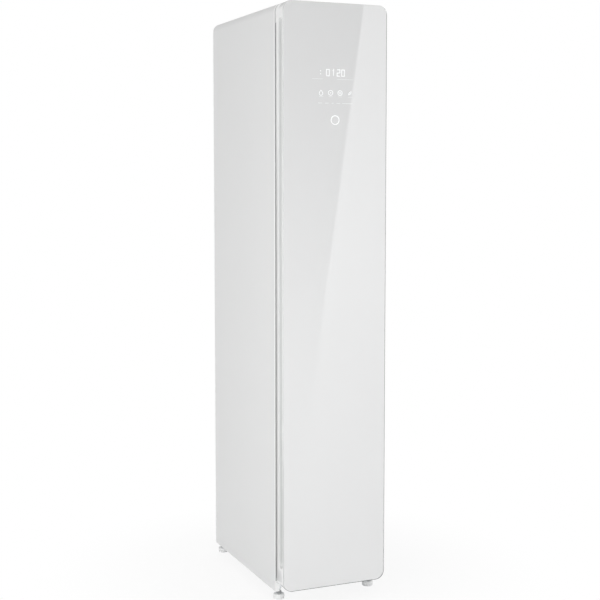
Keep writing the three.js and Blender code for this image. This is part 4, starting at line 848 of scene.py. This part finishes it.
# %% The mouldings and plates, with the radius of their edges in millimetres
edge_radii = {
    "rear_panel": 0.3, "door_liner": 1.2, "cabin_wall_left": 0.8, "cabin_wall_right": 0.8,
    "cabin_wall_back": 0.8, "cabin_ceiling": 0.8, "cabin_floor": 0.8, "cabin_lamp": 0.8,
    "tank_bay": 0.8, "shelf": 1.0, "aroma_case": 0.6, "lint_filter": 0.5, "steam_nozzle": 0.6,
    "supply_tank": 0.7, "supply_tank_lid": 0.8, "supply_tank_cap": 0.8, "drain_tank": 0.7,
    "drain_tank_lid": 0.8, "hanger_bar": 1.0, "shaker_carriage": 0.8, "shaker_crank": 0.5,
    "shaker_motor": 0.8, "top_hinge_bracket": 0.4, "bottom_hinge_bracket": 0.4,
    "top_hinge_bush": 0.4, "bottom_hinge_bush": 0.4, "base_frame": 0.4, "cord_gland": 0.8,
    "compressor": 1.5, "compressor_mount": 0.8, "steam_generator": 0.8, "feed_pump": 0.8,
    "drain_pump": 0.8, "fan_motor": 0.8, "control_board": 0.3, "air_duct": 0.8,
    "door_core": 1.0, "display_module": 0.8, "guide_rod_front": 0.5, "guide_rod_rear": 0.5,
    "insulation_left": 2.0, "insulation_right": 2.0, "insulation_back": 2.0,
}
for node, radius in edge_radii.items():
    rounded(node, radius * MM)
print(len(edge_radii), "more pieces with rounded edges")

# %% [markdown]
# ## Pipes and hoses
# The solids of the pipes and hoses have few sides. A Subdivision Surface modifier makes them
# round, and creases keep their cut ends flat.

# %% Round pipes and hoses
pipe_levels = 2


def smoothed(node):
    """A copy of a pipe with a round section and flat ends, which stands for that pipe."""
    work = merged_copy(node)
    crease = work.edges.layers.float.new("crease_edge")
    for edge in work.edges:
        edge[crease] = float(len(edge.link_faces) == 2 and edge.calc_face_angle() > sharp_angle)
    piece = stand_in(node, "_round", work, sharp_angle)
    finer = piece.modifiers.new("round_section", "SUBSURF")
    finer.levels = finer.render_levels = pipe_levels
    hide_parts(node)
    return piece


pipes = [smoothed(node) for node in (
    "suction_pipe", "discharge_pipe", "steam_hose", "feed_hose", "drain_hose")]
print([pipe.name for pipe in pipes])

# %% [markdown]
# ## The levelling feet
# A foot is turned by hand, so its rim has flutes for the fingers, and a steel nut above
# the rim locks it. A ring of points whose radius follows a cosine gives the flutes, one whose
# radius follows a hexagon gives the nut, and a stack of such rings gives the foot. A list of
# heights, radii and outlines is its profile, like that of a piece on a lathe.

# %% The profile and the finish of a foot
foot_low, foot_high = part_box("foot_front_left")
foot_radius = (foot_high.x - foot_low.x) / 2
flutes = 18
flute_steps = 6
flute_depth = 0.5 * MM
rim_top, neck_top = 16 * MM, 23 * MM
neck_radius, stem_radius = 9 * MM, 5 * MM
nut_tone = (0.36, 0.37, 0.375)
ROUND, FLUTED, HEXAGON = 0, 1, 2
foot_profile = (
    (0.0, foot_radius - 2.2 * MM, ROUND), (0.9 * MM, foot_radius - 0.9 * MM, ROUND),
    (2.2 * MM, foot_radius - 0.9 * MM, ROUND), (2.9 * MM, foot_radius - 1.6 * MM, ROUND),
    (3.6 * MM, foot_radius - 0.6 * MM, FLUTED), (4.8 * MM, foot_radius, FLUTED),
    (rim_top - 3.2 * MM, foot_radius, FLUTED),
    (rim_top - 1.4 * MM, foot_radius - 0.7 * MM, FLUTED),
    (rim_top - 0.4 * MM, foot_radius - 2.2 * MM, ROUND), (rim_top, foot_radius - 4.2 * MM, ROUND),
    (rim_top, neck_radius, HEXAGON), (neck_top - 0.8 * MM, neck_radius, HEXAGON),
    (neck_top, neck_radius - 0.8 * MM, ROUND), (neck_top, stem_radius, ROUND),
    (foot_high.z - 0.5 * MM, stem_radius, ROUND), (foot_high.z, stem_radius - 0.5 * MM, ROUND))

foot_look = moulded("foot_plastic", *white_moulding)
tree = foot_look.node_tree
on_nut = maths(tree, "GREATER_THAN", split(tree, point(tree))["Z"], rim_top + 0.1 * MM)
overlay(foot_look, on_nut, nut_tone)

# %% Fluted feet
def ring_radius(radius, outline, turn):
    """The radius of a ring at one angle."""
    if outline == FLUTED:
        return radius - flute_depth * (0.5 - 0.5 * math.cos(flutes * turn))
    if outline == HEXAGON:
        sixth = math.pi / 3
        return radius * math.cos(sixth / 2) / math.cos(turn % sixth - sixth / 2)
    return radius


def join_rings(work, rings):
    """Faces from each ring of points to the next."""
    for lower, upper in zip(rings, rings[1:]):
        for step in range(len(lower)):
            after = (step + 1) % len(lower)
            work.faces.new((lower[step], lower[after], upper[after], upper[step]))


def turned_foot(node):
    """One foot as a closed stack of rings about its screw."""
    low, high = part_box(node)
    middle = (low + high) / 2
    count = flutes * flute_steps
    turns = [2 * math.pi * step / count for step in range(count)]
    work = bmesh.new()
    rings = []
    for height, radius, outline in foot_profile:
        ring = []
        for turn in turns:
            out = ring_radius(radius, outline, turn)
            ring.append(work.verts.new((
                middle.x + out * math.cos(turn), middle.y + out * math.sin(turn), height)))
        rings.append(ring)
    join_rings(work, rings)
    work.faces.new(rings[-1])
    work.faces.new(rings[0][::-1])
    piece = stand_in(node, "_fluted", work, crease_angle, foot_look)
    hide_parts(node)
    return piece


feet = [turned_foot(node) for node in (
    "foot_front_left", "foot_front_right", "foot_rear_left", "foot_rear_right")]
print(len(feet), "feet of", len(feet[0].data.polygons), "faces")

# %% [markdown]
# ## Marks on the door and the tanks
# The display shines through small gaps in the paint behind the glass. Each mark is a stroke: a
# flat bar that follows a few points, with its corners mitred. The marks here are generic: plain
# digits, dashes, a ring and four simple pictures. They are laid on the glass a few hundredths
# of a millimetre proud, which is less than the eye can see.

# %% Strokes with mitred corners
mark_proud = 0.04 * MM


def new_drawing(face_y):
    """Nothing drawn yet: an empty mesh to edit, and the Y of the face that it lies on."""
    return bmesh.new(), face_y


def add_stroke(drawing, points, width, closed=False):
    """A flat bar along points given as (x, z)."""
    work, face_y = drawing
    spots = list(map(Vector, points))
    count = len(spots)
    rings = []
    for index, spot in enumerate(spots):
        ways = []
        if closed or index > 0:
            ways.append((spot - spots[index - 1]).normalized())
        if closed or index < count - 1:
            ways.append((spots[(index + 1) % count] - spot).normalized())
        sides = [Vector((-way.y, way.x)) for way in ways]
        mitre = sum(sides, Vector((0, 0)))
        mitre *= width / (1 + sides[0].dot(sides[-1])) / len(sides)
        ring = []
        for side, depth in ((-1, mark_proud), (1, mark_proud), (1, 0), (-1, 0)):
            flat = spot + side * mitre
            ring.append(work.verts.new((flat.x, face_y - depth, flat.y)))
        rings.append(ring)
    join_rings(work, rings + rings[:1] if closed else rings)
    if not closed:
        work.faces.new(rings[0])
        work.faces.new(rings[-1][::-1])


def arc(middle, radius, start, end, steps):
    """Points on an arc about (x, z), with its angles in degrees."""
    turns = [math.radians(start + (end - start) * step / steps) for step in range(steps + 1)]
    return [(middle[0] + radius * math.cos(t), middle[1] + radius * math.sin(t)) for t in turns]


def add_ring(drawing, middle, radius, width, steps=17):
    """The outline of a circle. The last of its equal steps is left to close it."""
    add_stroke(drawing, arc(middle, radius, 0, 360 - 360 / (steps + 1), steps), width, True)


def add_dot(drawing, middle, radius):
    """A round dot, drawn as a ring so wide that it all but fills its own middle."""
    add_ring(drawing, middle, radius / 2, width=radius * 0.98, steps=23)


def finish_marks(drawing, name, body, look):
    """Turns the strokes' faces outwards and adds them as one piece."""
    work, _ = drawing
    bmesh.ops.recalc_face_normals(work, faces=work.faces)
    piece = add_piece(name, to_mesh(work, name), body, look)
    print(name, "has", len(piece.data.polygons), "faces")


def lit_ink(name, colour, glow):
    """A translucent white lit from behind, a little uneven from lamp to lamp."""
    look, tree, shader, place = new_look(name, colour, {"Scale": 30.0, "Drift": 0.06})
    grained = use(tree, grain_effect, {"Vector": place, "Rough": 0.12, "Rough Change": 0.04})
    fill(tree, shader, {
        "Emission Color": shader.inputs["Base Color"].links[0].from_socket,
        "Roughness": grained["Roughness"], "Emission Strength": glow})
    look.diffuse_color = (*colour, 1)
    return look


# %% Digits and pictures
digit_shares = {
    "0": (((0, 0), (1, 0), (1, 1), (0, 1)), True),
    "1": (((0.2, 0.8), (0.5, 1), (0.5, 0)), False),
    "2": (((0, 1), (1, 1), (1, 0.52), (0, 0.48), (0, 0), (1, 0)), False),
}


def add_digit(drawing, digit, left, bottom, size, width):
    """One digit in a box of the given (width, height)."""
    shares, closed = digit_shares[digit]
    points = [(left + x * size[0], bottom + z * size[1]) for x, z in shares]
    add_stroke(drawing, points, width, closed)


def add_drop(drawing, middle, radius, width):
    """The outline of a falling drop."""
    x, z = middle
    belly = arc((x, z - radius * 0.35), radius, 145, 395, 14)
    add_stroke(drawing, belly + [(x, z + radius * 1.25)], width, True)


def add_waves(drawing, middle, radius, width):
    """A ring with three rising wisps of steam in it."""
    add_ring(drawing, middle, radius, width)
    for offset in (-0.4, 0.0, 0.4):
        wisp = [(middle[0] + radius * (offset + 0.12 * math.sin(step * math.pi / 2)),
                 middle[1] + radius * (step / 4 - 0.5)) for step in range(5)]
        add_stroke(drawing, wisp, width * 0.7)


def add_leaf(drawing, middle, radius, width):
    """A leaf with its midrib, leaning to the right."""
    x, z = middle
    tips = ((x - 0.8 * radius, z - 0.8 * radius), (x + 0.8 * radius, z + 0.8 * radius))
    upper = arc((tips[0][0], tips[1][1]), 1.6 * radius, 270, 360, 8)
    lower = arc((tips[1][0], tips[0][1]), 1.6 * radius, 90, 180, 8)
    add_stroke(drawing, upper[:-1] + lower[:-1], width, True)
    add_stroke(drawing, (tips[0], (x + 0.3 * radius, z + 0.3 * radius)), width * 0.8)


# %% The display
marks = new_drawing(glass_front)
digit_size = (9.2 * MM, 19 * MM)
digit_bottom = 1623.6 * MM
bold, fine = 2.5 * MM, 1.7 * MM
for digit, left in (("0", -31.2), ("1", -12.4), ("2", 4.0), ("0", 19.2)):
    add_digit(marks, digit, left * MM, digit_bottom, digit_size, bold)
for height in (1638.0, 1629.0):
    add_dot(marks, (-51 * MM, height * MM), radius=1.7 * MM)
picture_row, picture_radius = 1573 * MM, 7.4 * MM
for x, add_picture, share in (
        (-49.3, add_drop, 0.8), (-17.5, add_ring, 1.0), (14.0, add_waves, 1.0),
        (47.0, add_leaf, 0.8)):
    add_picture(marks, (x * MM, picture_row), picture_radius * share, fine)
add_dot(marks, (-17.5 * MM, picture_row), radius=1.8 * MM)
power_middle, power_radius, power_width = (-2.3 * MM, 1491.4 * MM), 13.2 * MM, 2.8 * MM
add_ring(marks, power_middle, power_radius, power_width, steps=47)
display_glow = lit_ink("display_glow", (0.92, 0.935, 0.94), glow=0.24)
finish_marks(marks, "display_marks", "door", display_glow)

# %% The faint rules and dashes under them
rules = new_drawing(glass_front)
faint_width, dash_width = 1.0 * MM, 1.6 * MM
for height, width, spans in (
        (1614, faint_width, ((-79, -43), (4, 57))),
        (1561.5, faint_width, ((-56, -42), (-24, -11), (8, 20), (40, 54))),
        (1541.8, dash_width, ((-59, -46), (-36, -24), (-14, -7.5), (2.5, 14), (21, 54)))):
    for start, end in spans:
        add_stroke(rules, ((start * MM, height * MM), (end * MM, height * MM)), width)
rule_glow = lit_ink("rule_glow", (0.88, 0.9, 0.9), glow=0.1)
finish_marks(rules, "display_rules", "door", rule_glow)

# %% [markdown]
# The tanks are told apart by a small picture on the lip of each lid, and each has level lines
# on its front: printed blue on the tank for clean water, and grey on the one for waste.

# %% Marks on the tanks
print_surface = (0.5, 0.05, 1500.0, 0.05, 0)
print_grey = moulded("print_grey", (0.16, 0.18, 0.19), *print_surface)
print_blue = moulded("print_blue", (0.05, 0.22, 0.42), *print_surface)
lid_drop_radius, lid_line, level_line = 3.4 * MM, 1.0 * MM, 0.9 * MM
waste_half, waste_fall = 6 * MM, 5.6 * MM
level_inset, lowest_level, level_pitch = 24 * MM, 0.2, 0.18
level_lengths = (9 * MM, 9 * MM, 9 * MM, 16 * MM)
for tank, body, ink, slot_name in (
        ("supply_tank", "supply", print_blue, "blue_plastic"),
        ("drain_tank", "drain", print_grey, "grey_plastic")):
    low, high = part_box(tank)
    lid_low, lid_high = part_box(tank + "_lid")
    x, z = (low.x + high.x) / 2, (lid_low.z + lid_high.z) / 2
    lip = new_drawing(lid_low.y)
    add_drop(lip, (x, z), lid_drop_radius, lid_line)
    if tank == "drain_tank":
        add_stroke(lip, ((x - waste_half, z - waste_fall), (x + waste_half, z - waste_fall)), lid_line)
    finish_marks(lip, tank + "_lid_picture", body, ink)
    levels = new_drawing(low.y)
    for level, line_length in enumerate(level_lengths):
        height = low.z + (high.z - low.z) * (lowest_level + level_pitch * level)
        start = high.x - level_inset
        add_stroke(levels, ((start - line_length, height), (start, height)), level_line)
    finish_marks(levels, tank + "_levels", body, ink)

# %% [markdown]
# ## Screws, by Geometry Nodes
# The same screw sits in many places, so one head is modelled, and a tree of geometry nodes
# sets a copy of it on every point of a mesh, each turned by its own chance angle. The tree
# ends by making the copies real and giving them their finish, and the result is read back as
# a plain mesh.

# %% Run a tree on a seed
def grown(name, seed, tree, values):
    """Runs a tree of geometry nodes on a seed mesh and returns the plain mesh that it makes."""
    carrier = bpy.data.objects.new(name, seed)
    scene.collection.objects.link(carrier)
    modifier = carrier.modifiers.new(name, "NODES")
    modifier.node_group = tree
    keys = {item.name: item.identifier for item in tree.interface.items_tree
            if item.item_type == "SOCKET" and item.in_out == "INPUT"}
    for label, value in values.items():
        modifier[keys[label]] = value
    bpy.context.view_layer.update()
    made = carrier.evaluated_get(bpy.context.evaluated_depsgraph_get())
    mesh = bpy.data.meshes.new_from_object(made)
    mesh.name = name
    bpy.data.objects.remove(carrier)
    return mesh


def end_tree(tree, leave, shape, finish):
    """Ends a tree of geometry nodes: the copies become real and take their finish."""
    real = put(tree, "GeometryNodeRealizeInstances", {"Geometry": shape.outputs[0]})
    coated = put(tree, "GeometryNodeSetMaterial", {
        "Geometry": real.outputs[0], "Material": finish})
    fill(tree, leave, {"Geometry": coated.outputs[0]})


def set_on_points_tree():
    """Sets a turned copy of an object on every point."""
    tree, entry, leave = new_group("screws_on_points", {
        "Geometry": GEOMETRY, "Head": OBJECT, "Turn Seed": 4, "Finish": MATERIAL},
        {"Geometry": GEOMETRY}, "GeometryNodeTree")
    head = put(tree, "GeometryNodeObjectInfo", {"Object": entry["Head"]})
    turn = put(tree, "FunctionNodeRandomValue", {
        "Min": (0, 0, 0), "Max": (0, 2 * math.pi, 0), "Seed": entry["Turn Seed"]},
        data_type="FLOAT_VECTOR")
    copies = put(tree, "GeometryNodeInstanceOnPoints", {
        "Points": entry["Geometry"], "Instance": head.outputs["Geometry"],
        "Rotation": turn.outputs[0]})
    end_tree(tree, leave, copies, entry["Finish"])
    return tree


# %% A screw head with a cross recess
head_radius, head_height = 4.2 * MM, 1.6 * MM
head_proud = 0.5 * MM
recess_half, recess_width, recess_deep = 2.3 * MM, 0.9 * MM, 1.0 * MM
recess_taper = 0.8
head_steps = 24


def screw_head():
    """A shallow domed head that looks along +Y, with a cross cut into it."""
    work = bmesh.new()
    profile = ((-head_height + head_proud, head_radius), (head_proud - 0.45 * MM, head_radius),
               (head_proud - 0.12 * MM, head_radius * 0.86), (head_proud, head_radius * 0.62))
    turns = [2 * math.pi * step / head_steps for step in range(head_steps)]
    rings = [[work.verts.new((radius * math.cos(turn), height, radius * math.sin(turn)))
              for turn in turns] for height, radius in profile]
    join_rings(work, rings)
    work.faces.new(rings[0])
    half, thin = recess_half, recess_width / 2
    cross = [(half, -thin), (half, thin), (thin, thin), (thin, half), (-thin, half),
             (-thin, thin), (-half, thin), (-half, -thin), (-thin, -thin), (-thin, -half),
             (thin, -half), (thin, -thin)]
    mouth, bottom = ([work.verts.new((x * share, height, z * share)) for x, z in cross]
                     for share, height in ((1, head_proud), (recess_taper, head_proud - recess_deep)))
    join_rings(work, [mouth, bottom])
    work.faces.new(bottom)
    rim = [edge for edge in work.edges if len(edge.link_faces) == 1]
    bmesh.ops.bridge_loops(work, edges=rim)
    bmesh.ops.triangulate(work, faces=[face for face in work.faces if len(face.verts) > 4])
    bmesh.ops.recalc_face_normals(work, faces=work.faces)
    open_edges = sum(len(edge.link_faces) != 2 for edge in work.edges)
    mesh = to_mesh(work, "screw_head")
    print("screw head of", len(mesh.polygons), "faces with", open_edges, "open edges")
    return mesh


# %% Screws of the rear panel
back_low, back_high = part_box("rear_panel")
rim_inset = 15 * MM
side_rows, end_screws = 7, 3
first_row, last_row = back_low.z + 40 * MM, back_high.z - 60 * MM
end_pitch = 105 * MM
rear_places = []
for row in range(side_rows):
    row_z = first_row + (last_row - first_row) * row / (side_rows - 1)
    for side_x in (back_low.x + rim_inset, back_high.x - rim_inset):
        rear_places.append((side_x, back_high.y, row_z))
for column in range(end_screws):
    for end_z in (back_low.z + rim_inset, back_high.z - rim_inset):
        rear_places.append(((column - 1) * end_pitch, back_high.y, end_z))

screw_seed = bpy.data.objects.new("screw_head", screw_head())
scene.collection.objects.link(screw_seed)
places_mesh = bpy.data.meshes.new("rear_panel_screws_places")
places_mesh.from_pydata(rear_places, [], [])
screws_mesh = grown("rear_panel_screws", places_mesh, set_on_points_tree(), {
    "Head": screw_seed, "Turn Seed": len(rear_places), "Finish": looks["steel"]})
add_piece("rear_panel_screws", screws_mesh, "cabinet", looks["steel"])
bpy.data.objects.remove(screw_seed)
print(len(rear_places), "screws,", len(screws_mesh.polygons), "faces")

# %% [markdown]
# ## The lint screen
# Air is drawn down through the filter tray, over a fine woven screen that catches the fluff. The
# wires are many and alike, so a tree of geometry nodes lays them: a line of points, a thin rod
# on each point, then real geometry.

# %% Woven wires
def wires_tree():
    """Rods of one length and radius, laid side by side at one pitch."""
    tree, entry, leave = new_group("wires_side_by_side", {
        "Geometry": GEOMETRY, "Count": 10, "Start": VECTOR, "Step": VECTOR, "Length": 0.1,
        "Radius": 0.0002, "Turn": VECTOR, "Finish": MATERIAL},
        {"Geometry": GEOMETRY}, "GeometryNodeTree")
    line = put(tree, "GeometryNodeMeshLine", {
        "Count": entry["Count"], "Start Location": entry["Start"], "Offset": entry["Step"]})
    wire = put(tree, "GeometryNodeMeshCylinder", {
        "Vertices": 5, "Radius": entry["Radius"], "Depth": entry["Length"]})
    laid = put(tree, "GeometryNodeInstanceOnPoints", {
        "Points": line.outputs[0], "Instance": wire.outputs[0], "Rotation": entry["Turn"]})
    end_tree(tree, leave, laid, entry["Finish"])
    return tree


# %% The screen in the filter tray
wire_tree = wires_tree()
filter_low, filter_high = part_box("lint_filter")
tray_inset = 7 * MM
wire_pitch, wire_radius = 1.8 * MM, 0.25 * MM
screen_low = (filter_low.x + tray_inset, filter_low.y + tray_inset)
screen_high = (filter_high.x - tray_inset, filter_high.y - tray_inset)
screen_z = filter_low.z - 0.3 * MM
for name, along, across, level in (("lint_screen_across", 0, 1, 0), ("lint_screen_along", 1, 0, 1)):
    count = int((screen_high[across] - screen_low[across]) / wire_pitch)
    start, step = [0, 0, screen_z - 2 * wire_radius * level], [0, 0, 0]
    start[along] = (screen_low[along] + screen_high[along]) / 2
    start[across] = screen_low[across] + wire_pitch / 2
    step[across] = wire_pitch
    turn = (0, quarter_turn, 0) if along == 0 else (quarter_turn, 0, 0)
    mesh = grown(name, bpy.data.meshes.new(name + "_seed"), wire_tree, {
        "Count": count, "Start": start, "Step": step, "Radius": wire_radius, "Turn": turn,
        "Length": screen_high[along] - screen_low[along], "Finish": looks["steel"]})
    add_piece(name, mesh, "filter", looks["steel"])
    print(name, count, "wires,", len(mesh.polygons), "faces")

# %% [markdown]
# ## The door's magnetic seal
# The seal is one long strip pushed into the liner all round: a flat foot, a bellows with two
# folds that lets it squash, and a rounded head that holds the magnet. Such a strip is a
# profile drawn once and swept round a path, which is what Curve to Mesh does.

# %% Sweep a profile round a path
def swept_tree():
    """Sweeps a closed profile round a closed path, with one side always to the front."""
    tree, entry, leave = new_group("swept_strip", {
        "Geometry": GEOMETRY, "Profile": OBJECT, "Finish": MATERIAL},
        {"Geometry": GEOMETRY}, "GeometryNodeTree")
    path = put(tree, "GeometryNodeMeshToCurve", {"Mesh": entry["Geometry"]})
    steady = put(tree, "GeometryNodeSetCurveNormal", {
        "Curve": path.outputs[0], "Normal": (0, 1, 0)}, mode="FREE")
    shape = put(tree, "GeometryNodeObjectInfo", {"Object": entry["Profile"]})
    profile = put(tree, "GeometryNodeMeshToCurve", {"Mesh": shape.outputs["Geometry"]})
    strip = put(tree, "GeometryNodeCurveToMesh", {
        "Curve": steady.outputs[0], "Profile Curve": profile.outputs[0]})
    end_tree(tree, leave, strip, entry["Finish"])
    return tree


def edge_loop(name, points):
    """A mesh of points joined in a closed ring, with no faces."""
    mesh = bpy.data.meshes.new(name)
    count = len(points)
    mesh.from_pydata(points, [(i, (i + 1) % count) for i in range(count)], [])
    return mesh


# %% The path and the profile of the seal
seal_low, seal_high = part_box("door_gasket")
seal_half = 5 * MM
seal_corner = 12 * MM
left_x, right_x = seal_low.x + seal_half, seal_high.x - seal_half
low_z, high_z = seal_low.z + seal_half, seal_high.z - seal_half
seal_path = []
for x, z, start in ((right_x, high_z, 0), (left_x, high_z, 90), (left_x, low_z, 180),
                    (right_x, low_z, 270)):
    inner = (x - math.copysign(seal_corner, x), z - math.copysign(seal_corner, z - case_middle.z))
    seal_path += [(px, 0, pz) for px, pz in arc(inner, seal_corner, start, start + 90, 8)]
seal_thickness = seal_high.y - seal_low.y
one_side = (
    (0.00, 0.95), (0.16, 1.0), (0.30, 0.62), (0.40, 0.60), (0.50, 0.92), (0.60, 0.92),
    (0.68, 0.70), (0.78, 0.86), (0.92, 0.90), (1.00, 0.72))
folds = one_side + tuple((depth, -side) for depth, side in one_side[::-1])
seal_profile = bpy.data.objects.new("seal_profile", edge_loop("seal_profile", [
    (seal_low.y + depth * seal_thickness, side * seal_half, 0) for depth, side in folds]))
scene.collection.objects.link(seal_profile)

# %% The seal
strip_mesh = grown("seal_strip", edge_loop("seal_path", seal_path), swept_tree(), {
    "Profile": seal_profile, "Finish": looks["rubber"]})
bpy.data.objects.remove(seal_profile)
work = bmesh.new()
work.from_mesh(strip_mesh)
bmesh.ops.recalc_face_normals(work, faces=work.faces)
seal_mesh = to_mesh(work, "door_seal", crease_angle)
seal = add_piece("door_seal", seal_mesh, "door", looks["rubber"])
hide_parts("door_gasket")
ys = [vert.co.y for vert in seal_mesh.vertices]
print("seal of", len(seal_mesh.polygons), "faces, y", round(min(ys), 5), "to", round(max(ys), 5),
      "for", round(seal_low.y, 5), "to", round(seal_high.y, 5))

# %% The box of the finished scene
bpy.context.view_layer.update()
low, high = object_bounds()
print("visual box", [round(v, 4) for v in low], [round(v, 4) for v in high])
